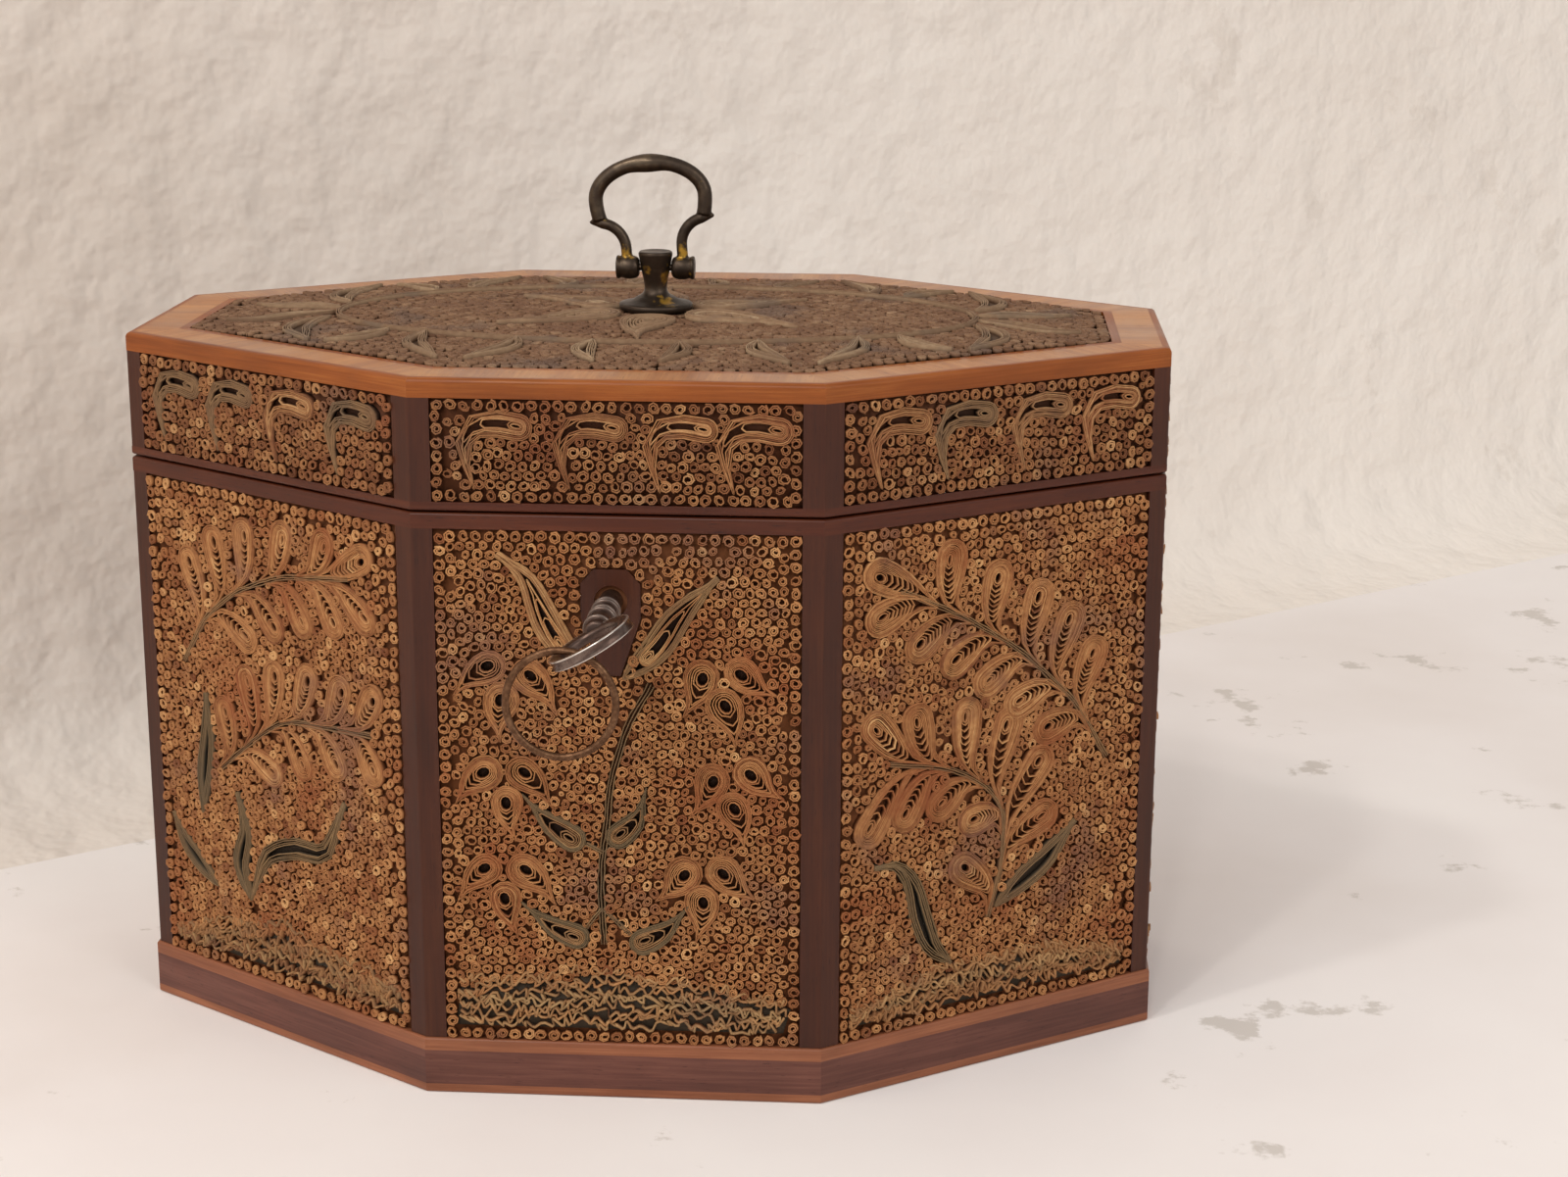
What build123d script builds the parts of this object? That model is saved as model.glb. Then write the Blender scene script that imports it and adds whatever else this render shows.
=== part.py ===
"""Eight-sided caddy box with a hinged lid, quilled paper panels, a lock with its key, and a bail handle.

Millimetres. The origin is the centre of the base, +X runs along the box and -Y is the front with the lock.
"""
from build123d import *
import math
import os

# Plan and heights
box_length = 180.0
box_depth = 119.6
front_width = 66.6
end_width = 42.5
bottom_thickness = 5.0
wall_thickness = 6.0
facing_thickness = 3.0
plinth_height = 9.9
case_height = 100.8
case_rail_height = 2.6
lid_gap = 0.3
lid_height = 21.6
lid_rail_height = 1.5
lid_board_thickness = 5.0
top_band_height = 3.2

# Veneers, strings and linings
post_width = 3.5
post_arris_radius = 0.6
rail_arris_radius = 0.5
edge_arris_radius = 0.9
plinth_proud = 0.5
plinth_lower_line = 1.6
plinth_upper_line = 2.2
edge_line_width = 1.5
inner_line_width = 1.6
crossbanding_width = 6.7
lining_thickness = 0.4

# Quilled panels
ground_thickness = 2.4
top_ground_thickness = 2.8
quill_relief = 0.9
drop_radius = 3.0
small_drop_radius = 2.6
stem_width = 1.1
petal_head = 12.0
petal_tip = 29.0
petal_radius = 4.6
oval_length = 57.0
oval_depth = 31.0
top_crown = 1.5
top_crown_radius = 50.0
border_width = 2.3
crimp_foot = 1.8
scroll_neck_width = 2.1
front_scroll_count = 4
end_scroll_count = 2

# Lock, key and ring
key_axis_x = -1.1
key_axis_below_rim = 14.2
keyhole_radius = 2.7
keyhole_slot_width = 1.8
keyhole_slot_reach = 5.8
surround_half_width = 4.85
surround_head_half_width = 2.7
surround_foot_half_width = 1.5
surround_above_axis = 5.4
surround_shoulder_above_axis = 3.0
surround_waist_below_axis = 2.7
surround_below_axis = 12.4
lock_width = 34.0
lock_depth_below_axis = 7.6
lock_plate_thickness = 0.8
lock_front_skin = 1.2
selvedge_width = 44.0
selvedge_depth = 5.2
selvedge_thickness = 1.0
selvedge_screw_offset = 19.6
cap_screw_offset = 13.6
cap_screw_below_axis = 4.2
cap_pillar_radius = 1.7
cap_screw_length = 3.4
drill_pin_radius = 0.6
key_bore_clearance = 0.05
key_shank_radius = 1.9
key_bit_reach = 5.1
key_bit_length = 1.8
key_bit_thickness = 1.2
key_bow_near = 17.4
key_bow_length = 13.2
key_bow_half_width = 7.1
key_bow_rim = 2.1
key_bow_thickness = 1.8
key_bow_tilt = 30.0
collar_radius = 2.35
collar_thickness = 0.8
collar_pitch = 1.3
first_collars_ahead = 5.0
second_collars_ahead = 9.5
bow_collar_ahead = 15.6
key_bore_past_pin = 0.7
key_end_clearance = 0.2
drill_pin_length = 6.7
ring_outer_radius = 9.1
ring_wire_radius = 0.6
ring_clearance = 0.3
ring_ahead_of_bow_middle = 2.2
bolt_travel_back = 0.67
bolt_travel_out = 3.34
bolt_notch_middle = -1.33
bolt_notch_width = 7.6
bolt_bottom_above_axis = 4.0
bolt_notch_depth = 1.6
bolt_bar_height = 4.4
bolt_thickness = 2.0
bolt_left = 14.9
bolt_right = 11.0
finger_thickness = 1.0
finger_post_width = 1.6
finger_window_clearance = 0.3
stud_radius = 0.8
stud_clearance = 0.1
left_stud_x = -9.0
right_stud_x = 6.5
loop_offset = 8.0
loop_thickness = 1.4
loop_depth = 2.4
loop_wall = 0.5
loop_window_height = 2.2
loop_above_bolt = 0.4
spring_thickness = 0.3
spring_width = 2.0
spring_kick_length = 1.9
link_plate_thickness = 1.0
link_plate_width = 31.0
link_screw_offset = 12.6
loop_slot_clearance = 0.4
loop_bar_height = 1.0

# Hinges
hinge_spacing = 40.0
hinge_width = 16.0
hinge_leaf_depth = 7.2
hinge_leaf_thickness = 1.0
hinge_knuckle_radius = 1.5
hinge_axis_behind = 1.7
hinge_pin_radius = 0.75
hinge_bore_clearance = 0.05
hinge_knuckle_gap = 0.15
hinge_screw_spacing = 9.0

# Small screws
screw_head_radius = 1.3
screw_head_height = 0.7
screw_shank_radius = 0.7
screw_length = 6.0
hinge_screw_inset = 2.0

# Handle
rosette_radius = 6.5
rosette_height = 2.3
rosette_edge_height = 1.1
rosette_crown = -0.2
rosette_pad_margin = 1.5
post_foot_radius = 3.2
post_foot_flare = 0.1
post_foot_height = 0.5
post_neck_height = 1.4
post_neck_radius = 2.5
post_head_radius = 2.9
post_rim_height = 0.9
post_rim_chamfer = 0.3
post_top_above_rosette = 8.0
bail_pivot_above_rosette = 5.1
spindle_radius = 1.2
washer_radius = 3.4
washer_thickness = 0.8
nut_radius = 2.8
nut_height = 2.2
spindle_end = 0.8
bail_pin_radius = 0.6
bail_pin_clearance = 0.05
knuckle_radius = 2.1
knuckle_offset = 4.95
knuckle_flange_offset = 1.3
knuckle_flange_radius = 2.0
knuckle_flange_thickness = 0.7
bail_neck_radius = 0.98
bail_neck_root = 1.3
bail_neck_rise = 3.67
bail_loop_radius = 1.3
bail_belly_radius = 1.65
bail_belly_length = 8.4
bail_belly_drop = 0.25
bail_belly_end_radius = 0.9
bail_outer_bend = 5.4
bail_leg_x = 9.05
bail_leg_foot = 8.9
bail_leg_bend = 13.3
bail_leg_lean = 18.0
bail_neck_angle = 80.0
bail_neck_bend = 4.7
bail_tip_length = 2.0
bail_tip_radius = 0.4

# Heights and levels that follow from the sizes above
half_depth = box_depth / 2
lid_bottom = case_height + lid_gap
lid_top = lid_bottom + lid_height
rail_bottom = case_height - case_rail_height
band_bottom = lid_top - top_band_height
lid_board_bottom = band_bottom - lid_board_thickness
lid_rail_top = lid_bottom + lid_rail_height
key_axis_height = case_height - key_axis_below_rim
inner_inset = facing_thickness + wall_thickness
wall_inner_y = -half_depth + inner_inset
edge_inset = edge_line_width
inner_line_inset = edge_inset + crossbanding_width
top_panel_inset = inner_line_inset + inner_line_width
top_panel_top = band_bottom + top_ground_thickness + quill_relief

UP = (0, 0, 1)

corners = [
    Vector(-front_width / 2, -half_depth),
    Vector(front_width / 2, -half_depth),
    Vector(box_length / 2, -end_width / 2),
    Vector(box_length / 2, end_width / 2),
    Vector(front_width / 2, half_depth),
    Vector(-front_width / 2, half_depth),
    Vector(-box_length / 2, end_width / 2),
    Vector(-box_length / 2, -end_width / 2),
]
side_names = [
    "front", "front_right", "right_end", "back_right",
    "back", "back_left", "left_end", "front_left",
]
FRONT = side_names.index("front")
BACK = side_names.index("back")


def along(side):
    """Unit vector along a side, with the outside of the box on its right."""
    return (corners[(side + 1) % 8] - corners[side % 8]).normalized()


def outward(side):
    run = along(side)
    return Vector(run.Y, -run.X)


def plan_corner(number, inset):
    """A corner of the eight-sided plan after both of its sides move inwards by inset."""
    before = outward(number - 1)
    after = outward(number)
    return corners[number % 8] - (before + after) * (inset / (1 + before.dot(after)))


def prism(points, bottom, top):
    base = make_face(Polyline(*[(p.X, p.Y, bottom) for p in points], close=True))
    return extrude(base, amount=top - bottom, dir=UP)


def block(x_low, x_high, y_low, y_high, z_low, z_high):
    """A plain block between two corners."""
    size = Box(x_high - x_low, y_high - y_low, z_high - z_low)
    return Pos((x_low + x_high) / 2, (y_low + y_high) / 2, (z_low + z_high) / 2) * size


def rod(start, direction, radius, length):
    """A round bar from start along direction."""
    plane = Plane(origin=start, z_dir=direction)
    return extrude(plane * Circle(radius), amount=length)


def octagon(inset, bottom, top):
    return prism([plan_corner(k, inset) for k in range(8)], bottom, top)


def mitred_board(side, outer_inset, inner_depth, bottom, top):
    """One straight board of an eight-sided frame, with both ends cut on the mitre."""
    return prism([
        plan_corner(side, outer_inset),
        plan_corner(side + 1, outer_inset),
        plan_corner(side + 1, inner_depth),
        plan_corner(side, inner_depth),
    ], bottom, top)


def mitred_frame(outer_inset, inner_depth, bottom, top, top_radius=0.0, bottom_radius=0.0):
    """Eight mitred boards, with the outer long edges eased where a radius is given."""
    boards = []
    for side in range(8):
        board = mitred_board(side, outer_inset, inner_depth, bottom, top)
        for level, radius in ((top, top_radius), (bottom, bottom_radius)):
            if radius > 0:
                middle = (plan_corner(side, outer_inset) + plan_corner(side + 1, outer_inset)) * 0.5
                edge = board.edges().sort_by_distance((middle.X, middle.Y, level))[0]
                board = fillet(edge, radius)
        boards.append(board)
    return boards


def corner_posts(bottom, top):
    """Eight chevron-shaped posts that cover the corners between the panels."""
    posts = []
    for number in range(8):
        before = along(number - 1)
        after = along(number)
        outer = corners[number]
        inner = plan_corner(number, facing_thickness)
        left = outer - before * post_width
        right = outer + after * post_width
        post = prism([
            left,
            outer,
            right,
            right - outward(number) * facing_thickness,
            inner,
            left - outward(number - 1) * facing_thickness,
        ], bottom, top)
        arris = post.edges().filter_by(Axis.Z).sort_by_distance((outer.X, outer.Y, (bottom + top) / 2))[0]
        posts.append(fillet(arris, post_arris_radius))
    return posts


def fitted(host, *inserts):
    """A host piece with the exact space of what is let into it cut away."""
    for insert in inserts:
        host = host - insert
    return host


def save(name, *solids):
    """Write one node, which may hold several like pieces."""
    shape = solids[0] if len(solids) == 1 else Compound(children=list(solids))
    export_step(shape, f"parts/{name}.step")


def panel_width(side):
    return (corners[(side + 1) % 8] - corners[side]).length - 2 * post_width


def panel_plane(side, bottom, depth):
    """A plane on a side of the box, at its middle, with x along the side and z outwards."""
    middle = (corners[side] + corners[(side + 1) % 8]) * 0.5 - outward(side) * depth
    return Plane(origin=(middle.X, middle.Y, bottom), x_dir=along(side), z_dir=outward(side))


# Quilled figures are drawn flat: x is measured from the panel's middle line, y from its foot.

def drop(head, tail, radius):
    """A teardrop scroll with a round head and a pointed tail."""
    head = Vector(*head)
    tail = Vector(*tail)
    reach = tail - head
    half_angle = math.degrees(math.acos(radius / reach.length))
    to_tail = reach.normalized() * radius
    left = head + to_tail.rotate(Axis.Z, half_angle)
    right = head + to_tail.rotate(Axis.Z, -half_angle)
    return make_face([
        Line(tail, left),
        ThreePointArc(left, head - to_tail, right),
        Line(right, tail),
    ])


def leaf(base, via, tip, width):
    """A pointed leaf whose two edges are arcs either side of via."""
    base, via, tip = Vector(*base), Vector(*via), Vector(*tip)
    across = (tip - base).normalized().rotate(Axis.Z, 90) * (width / 2)
    return make_face([
        ThreePointArc(base, via + across, tip),
        ThreePointArc(tip, via - across, base),
    ])


def comma(tail, elbow, head, radius):
    """A scroll that rises from a thin tail and bends over into a round head."""
    tail, elbow, head = Vector(*tail), Vector(*elbow), Vector(*head)
    ahead = (head - elbow).normalized() * radius
    side = ahead.rotate(Axis.Z, 90)
    bend = (side - ahead).normalized() * (scroll_neck_width / 2)
    return make_face([
        ThreePointArc(tail, elbow + bend, head + side),
        ThreePointArc(head + side, head + ahead, head - side),
        ThreePointArc(head - side, elbow - bend, tail),
    ])


def stem(points, width):
    """A thin curved stalk, as short straight lengths with round joints."""
    pieces = []
    for start, end in zip(points, points[1:]):
        start, end = Vector(*start), Vector(*end)
        middle = (start + end) * 0.5
        run = end - start
        bar = Rectangle(run.length, width)
        turn = math.degrees(math.atan2(run.Y, run.X))
        pieces.append(Pos(middle.X, middle.Y) * Rot(0, 0, turn) * bar)
        pieces.append(Pos(end.X, end.Y) * Circle(width / 2))
    return pieces


def nearest_on(points, spot):
    """The place on a chain of points that is nearest to spot, and the direction back to its root."""
    best = None
    for start, end in zip(points, points[1:]):
        start, end = Vector(*start), Vector(*end)
        run = end - start
        share = max(0.0, min(1.0, (spot - start).dot(run) / run.dot(run)))
        place = start + run * share
        gap = (spot - place).length
        if best is None or gap < best[0]:
            best = (gap, place, run.normalized() * -1)
    return best[1], best[2]


def spray(stalk, heads, radius, lag=4.0):
    """A stalk with teardrop leaflets, whose tails join it a little nearer to its root."""
    shapes = stem(stalk, stem_width)
    for head in heads:
        place, back = nearest_on(stalk, Vector(*head))
        tail = place + back * lag
        shapes.append(drop(head, (tail.X, tail.Y), radius))
    return shapes


def border(width, height):
    """The row of rolls round a panel, as one flat frame."""
    outline = Pos(0, height / 2) * Rectangle(width, height)
    inside = Pos(0, height / 2) * Rectangle(width - 2 * border_width, height - 2 * border_width)
    return outline - inside


def ground_hump(width, heights):
    """The crimped paper ground at a panel's foot, under a line through the given heights."""
    step = (width - 2 * border_width) / (len(heights) - 1)
    line = [(-width / 2 + border_width + k * step, h) for k, h in enumerate(heights)]
    return make_face(Polyline((line[0][0], crimp_foot), *line, (line[-1][0], crimp_foot), close=True))


def front_figures(width):
    """Long leaves, a centre stem, six trefoils and low leaves, as on the panel with the keyhole."""
    drops = [
        ((-21.0, 65.5), (-26.4, 61.0)), ((-14.7, 64.1), (-10.6, 58.2)), ((-19.1, 60.0), (-19.5, 53.6)),
        ((13.6, 64.5), (10.9, 58.4)), ((19.9, 65.3), (25.3, 61.8)), ((17.1, 59.8), (18.9, 53.4)),
        ((-22.1, 47.3), (-26.6, 42.4)), ((-16.0, 47.5), (-11.6, 42.2)), ((-18.6, 42.4), (-17.5, 36.4)),
        ((15.3, 47.0), (12.2, 41.4)), ((21.5, 48.3), (26.3, 44.4)), ((18.6, 42.2), (20.3, 36.2)),
        ((-22.3, 30.6), (-26.6, 25.4)), ((-16.1, 30.5), (-11.4, 25.2)), ((-19.2, 25.6), (-17.5, 19.6)),
        ((10.6, 30.6), (6.4, 26.2)), ((17.0, 31.0), (22.2, 26.6)), ((13.5, 25.8), (12.6, 19.4)),
    ]
    shapes = [drop(head, tail, drop_radius) for head, tail in drops]
    shapes += [
        leaf((-6.5, 66.1), (-12.9, 74.8), (-19.2, 84.2), 3.0),
        leaf((0.9, 64.0), (7.6, 71.4), (16.2, 81.0), 4.4),
        leaf((-7.5, 35.3), (-11.9, 38.3), (-15.4, 42.6), 3.2),
        leaf((0.6, 35.5), (3.3, 39.5), (4.5, 44.5), 3.2),
        leaf((-6.0, 18.1), (-10.7, 21.6), (-15.8, 23.7), 2.8),
        leaf((2.6, 17.4), (7.0, 20.3), (10.7, 24.1), 2.8),
    ]
    shapes += stem([(-2.8, 17.7), (-3.3, 26.8), (-3.1, 32.2), (-2.1, 39.0), (-1.4, 46.6), (1.4, 56.0)],
                   stem_width)
    shapes.append(ground_hump(width, [10.4, 12.4, 13.3, 11.0, 8.6]))
    return shapes


def right_figures(width):
    """Two curling fronds and low leaves, as on the panel right of the front."""
    half = width / 2
    upper_stalk = [(54.0, 42.1), (46.7, 53.5), (35.4, 63.8), (23.8, 71.3), (11.1, 77.4)]
    upper_heads = [
        (20.9, 82.0), (30.4, 77.4), (38.9, 73.1), (45.6, 68.2), (50.6, 61.5),
        (6.8, 73.0), (15.0, 67.4), (21.9, 63.7), (28.6, 59.3), (35.0, 54.6), (41.2, 49.2),
    ]
    lower_stalk = [(29.8, 17.0), (32.6, 26.7), (32.7, 36.2), (28.3, 41.7), (20.6, 45.7), (9.4, 48.0)]
    lower_heads = [
        (6.6, 54.8), (14.6, 54.9), (22.6, 54.4), (34.2, 49.8), (39.9, 41.6), (41.1, 32.6),
        (5.6, 40.0), (12.6, 40.4), (19.6, 39.4), (25.6, 35.2), (24.4, 27.6),
    ]

    def centred(points):
        return [(x - half, y) for x, y in points]

    shapes = spray(centred(upper_stalk), centred(upper_heads), small_drop_radius)
    shapes += spray(centred(lower_stalk), centred(lower_heads), small_drop_radius)
    shapes += [
        leaf((31.3 - half, 18.8), (39.5 - half, 24.4), (47.6 - half, 31.5), 3.0),
        leaf((22.2 - half, 10.6), (15.2 - half, 21.0), (7.4 - half, 30.0), 3.2),
    ]
    shapes.append(ground_hump(width, [5.6, 9.4, 10.2, 9.2, 6.0]))
    return shapes


def left_figures(width):
    """Two fronds that lean the other way, as on the panel left of the front."""
    half = width / 2
    upper_stalk = [(8.0, 55.8), (14.2, 64.9), (22.7, 71.0), (34.1, 75.2), (50.4, 77.4)]
    upper_heads = [
        (10.4, 74.4), (17.0, 79.0), (24.8, 81.4), (34.5, 82.4), (44.6, 82.6),
        (24.6, 62.6), (31.6, 65.6), (38.8, 67.6), (46.4, 69.0), (54.0, 70.8),
    ]
    lower_stalk = [(16.5, 37.8), (27.5, 46.2), (33.4, 49.7), (45.3, 50.7), (54.6, 51.2)]
    lower_heads = [
        (17.8, 48.6), (23.9, 55.4), (31.1, 57.5), (39.3, 58.3), (47.4, 57.8), (55.0, 57.6),
        (29.8, 39.4), (37.4, 42.2), (45.8, 44.0), (54.6, 44.8),
    ]

    def centred(points):
        return [(x - half, y) for x, y in points]

    shapes = spray(centred(upper_stalk), centred(upper_heads), small_drop_radius)
    shapes += spray(centred(lower_stalk), centred(lower_heads), small_drop_radius)
    shapes += [
        leaf((11.4 - half, 27.6), (12.0 - half, 39.5), (9.6 - half, 51.0), 2.8),
        leaf((13.9 - half, 15.0), (7.6 - half, 20.2), (3.6 - half, 27.0), 2.6),
        leaf((22.6 - half, 14.4), (20.6 - half, 24.4), (20.1 - half, 33.8), 2.8),
        leaf((24.6 - half, 15.4), (36.0 - half, 24.6), (47.3 - half, 36.6), 3.4),
    ]
    shapes.append(ground_hump(width, [5.2, 9.8, 12.0, 9.6, 7.4]))
    return shapes


def end_figures(width):
    """One upright frond, which the photograph does not show: it follows the fronds beside it."""
    stalk = [(0.0, 14.0), (1.6, 30.0), (-1.4, 48.0), (1.0, 66.0), (-0.6, 78.0)]
    heads = []
    for row in range(7):
        level = 26.0 + row * 8.2
        heads.append((-8.6, level))
        heads.append((9.0, level + 3.6))
    shapes = spray(stalk, heads, drop_radius, lag=6.0)
    shapes.append(ground_hump(width, [6.4, 10.6, 11.6, 10.2, 6.8]))
    return shapes


def lid_figures(width, count):
    """A row of like scrolls that rise and bend over to the right."""
    pitch = (width - 2 * border_width) / count
    tail_share = 0.08
    head_share = 0.8
    shapes = []
    for place in range(count):
        left = -width / 2 + border_width + (place + tail_share) * pitch
        head_x = -width / 2 + border_width + (place + head_share) * pitch
        shapes.append(comma((left, 3.2), (left + 1.2, 9.8), (head_x, 11.6), small_drop_radius))
    return shapes


def top_figures():
    """A six-petalled flower about the handle, an oval stalk round it, and leaves that hang outwards."""
    leaves = [
        ((57.0, 8.3), (60.2, 18.0), (56.0, 30.5), 4.6), ((43.8, 22.0), (47.0, 28.0), (52.7, 31.5), 3.6),
        ((37.0, 23.7), (37.2, 34.0), (31.5, 44.4), 4.0), ((20.4, 29.0), (21.0, 37.0), (26.5, 44.6), 3.8),
        ((7.3, 31.0), (8.2, 38.0), (5.6, 45.0), 3.6), ((57.5, 2.5), (66.0, 6.0), (74.0, 9.0), 4.0),
    ]
    shapes = []
    for petal in range(6):
        angle = math.radians(30 + 60 * petal)
        across, up = math.cos(angle), math.sin(angle)
        shapes.append(drop((petal_head * across, petal_head * up), (petal_tip * across, petal_tip * up),
                           petal_radius))
    for turn_x in (1, -1):
        for turn_y in (1, -1):
            for base, via, tip, width in leaves:
                places = [(turn_x * x, turn_y * y) for x, y in (base, via, tip)]
                shapes.append(leaf(*places, width))
    half_stem = stem_width / 2
    shapes.append(Ellipse(oval_length + half_stem, oval_depth + half_stem)
                  - Ellipse(oval_length - half_stem, oval_depth - half_stem))
    return shapes


def joined(shapes):
    """One flat sketch of overlapping figures."""
    figure = Sketch() + shapes
    return figure


def quilled_panel(side, bottom, top, shapes):
    """A paper-covered ground filled with rolled paper, set between the posts."""
    width = panel_width(side)
    height = top - bottom
    plane = panel_plane(side, bottom, facing_thickness)
    ground = extrude(plane * Pos(0, height / 2) * Rectangle(width, height), amount=ground_thickness)
    figures = joined([border(width, height)] + shapes) & (Pos(0, height / 2) * Rectangle(width, height))
    relief = extrude(plane * figures, amount=ground_thickness + quill_relief)
    return ground + relief


def keyhole_outline(clearance=0.0):
    """The pipe key's hole: a round hole with a slot below it for the bit."""
    slot_length = keyhole_slot_reach + clearance
    slot = Pos(0, -slot_length / 2) * Rectangle(keyhole_slot_width + 2 * clearance, slot_length)
    return Circle(keyhole_radius + clearance) + slot


def front_cut(outline, near, far):
    """A hole straight in from the front, about the key's axis, between two depths."""
    start = (key_axis_x, -half_depth + near, key_axis_height)
    plane = Plane(origin=start, x_dir=(1, 0, 0), z_dir=(0, -1, 0))
    return extrude(plane * outline, amount=-(far - near))


def screw_at(place, direction, length=screw_length):
    """A small flat-headed screw, shown with a plain shank; place is the centre of its head."""
    head = rod(place, direction, screw_head_radius, screw_head_height)
    shank = rod(place, direction, screw_shank_radius, length)
    return head + shank


# Where the lock, hinges and handle stand
lock_left = key_axis_x - lock_width / 2
lock_right = key_axis_x + lock_width / 2
lock_front_y = -half_depth + facing_thickness + lock_front_skin
lock_bottom = key_axis_height - lock_depth_below_axis
cap_screw_height = key_axis_height - cap_screw_below_axis
selvedge_bottom = case_height - selvedge_thickness
cap_outer_y = wall_inner_y - lock_plate_thickness
cavity_front_y = lock_front_y + lock_plate_thickness
cavity_middle_y = (cavity_front_y + cap_outer_y) / 2
selvedge_front_y = wall_inner_y - selvedge_depth
selvedge_middle_y = wall_inner_y - selvedge_depth / 2
bolt_bottom = key_axis_height + bolt_bottom_above_axis
bolt_top = bolt_bottom + bolt_bar_height
bolt_front_y = cavity_front_y + key_end_clearance
loop_tip = bolt_top + loop_above_bolt
loop_window_bottom = loop_tip + loop_bar_height
loop_window_top = loop_window_bottom + loop_window_height
hinge_axis_y = half_depth + hinge_axis_behind
hinge_axis_z = case_height + lid_gap / 2
rosette_bottom = top_panel_top + top_crown
rosette_top = rosette_bottom + rosette_height
post_top = rosette_top + post_top_above_rosette
bail_pivot = rosette_top + bail_pivot_above_rosette
knuckle_flange_x = knuckle_offset + knuckle_flange_offset
knuckle_end = knuckle_flange_x + knuckle_flange_thickness
washer_top = lid_board_bottom - lining_thickness
washer_bottom = washer_top - washer_thickness
nut_bottom = washer_bottom - nut_height

lock_envelope = block(lock_left, lock_right, lock_front_y, wall_inner_y, lock_bottom, selvedge_bottom)
selvedge_envelope = block(key_axis_x - selvedge_width / 2, key_axis_x + selvedge_width / 2,
                          selvedge_front_y, wall_inner_y, selvedge_bottom, case_height)


def make_lock_case():
    """A brass box open at the back, brazed to the top plate that is seen when the lid is open."""
    shell = block(lock_left, lock_right, lock_front_y, cap_outer_y, lock_bottom, selvedge_bottom)
    shell -= block(lock_left + lock_plate_thickness, lock_right - lock_plate_thickness,
                   cavity_front_y, cap_outer_y, lock_bottom + lock_plate_thickness, selvedge_bottom)
    case = shell + selvedge_envelope
    for place in (-loop_offset, loop_offset):
        middle = key_axis_x + place
        half_slot = loop_thickness / 2 + loop_slot_clearance
        half_deep = loop_depth / 2 + loop_slot_clearance
        case -= block(middle - half_slot, middle + half_slot, cavity_middle_y - half_deep,
                      cavity_middle_y + half_deep, selvedge_bottom, case_height)
    for place in (left_stud_x, right_stud_x):
        foot = (key_axis_x + place, cavity_front_y, (bolt_bottom + bolt_top) / 2)
        case += rod(foot, (0, 1, 0), stud_radius, cap_outer_y - cavity_front_y)
    for place in (-cap_screw_offset, cap_screw_offset):
        foot = (key_axis_x + place, cavity_front_y, cap_screw_height)
        case += rod(foot, (0, 1, 0), cap_pillar_radius, cap_outer_y - cavity_front_y)
    case -= front_cut(keyhole_outline(), lock_front_y + half_depth, cavity_front_y + half_depth)
    return case


def make_bolt():
    """A flat brass bolt with two hooked fingers, two guide slots and a notch for the key's bit."""
    bolt_back_y = bolt_front_y + bolt_thickness
    bolt = block(key_axis_x - bolt_left, key_axis_x + bolt_right,
                 bolt_front_y, bolt_back_y, bolt_bottom, bolt_top)
    notch = key_axis_x + bolt_notch_middle
    bolt -= block(notch - bolt_notch_width / 2, notch + bolt_notch_width / 2,
                  bolt_front_y, bolt_back_y, bolt_bottom, bolt_bottom + bolt_notch_depth)
    middle = (bolt_bottom + bolt_top) / 2
    half_slot = stud_radius + stud_clearance
    for place in (left_stud_x, right_stud_x):
        low = key_axis_x + place - bolt_travel_out
        high = key_axis_x + place + bolt_travel_back
        bolt -= block(low, high, bolt_front_y, bolt_back_y, middle - half_slot, middle + half_slot)
        bolt -= rod((low, bolt_front_y, middle), (0, 1, 0), half_slot, bolt_thickness)
        bolt -= rod((high, bolt_front_y, middle), (0, 1, 0), half_slot, bolt_thickness)
    finger_front = cavity_middle_y - finger_thickness / 2
    finger_back = cavity_middle_y + finger_thickness / 2
    prong_low = loop_window_bottom + finger_window_clearance
    prong_high = loop_window_top - finger_window_clearance
    for place in (-loop_offset, loop_offset):
        tip = key_axis_x + place - loop_thickness / 2 - finger_window_clearance
        post_right = tip - bolt_travel_out + finger_window_clearance / 2
        bolt += block(post_right - finger_post_width, post_right, finger_front, finger_back,
                      bolt_top - stud_radius, prong_high)
        bolt += block(post_right - finger_post_width, tip, finger_front, finger_back,
                      prong_low, prong_high)
    return bolt


def make_link_plate():
    """A brass plate let into the lid's edge, with two windowed loops that the bolt's fingers enter."""
    half_width = link_plate_width / 2
    plate = block(key_axis_x - half_width, key_axis_x + half_width, selvedge_front_y, wall_inner_y,
                  lid_bottom, lid_bottom + link_plate_thickness)
    for place in (-loop_offset, loop_offset):
        left = key_axis_x + place - loop_thickness / 2
        right = key_axis_x + place + loop_thickness / 2
        loop = block(left, right, cavity_middle_y - loop_depth / 2, cavity_middle_y + loop_depth / 2,
                     loop_tip, lid_bottom)
        half_window = loop_depth / 2 - loop_wall
        loop -= block(left, right, cavity_middle_y - half_window, cavity_middle_y + half_window,
                      loop_window_bottom, loop_window_top)
        plate += loop
    return plate


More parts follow.
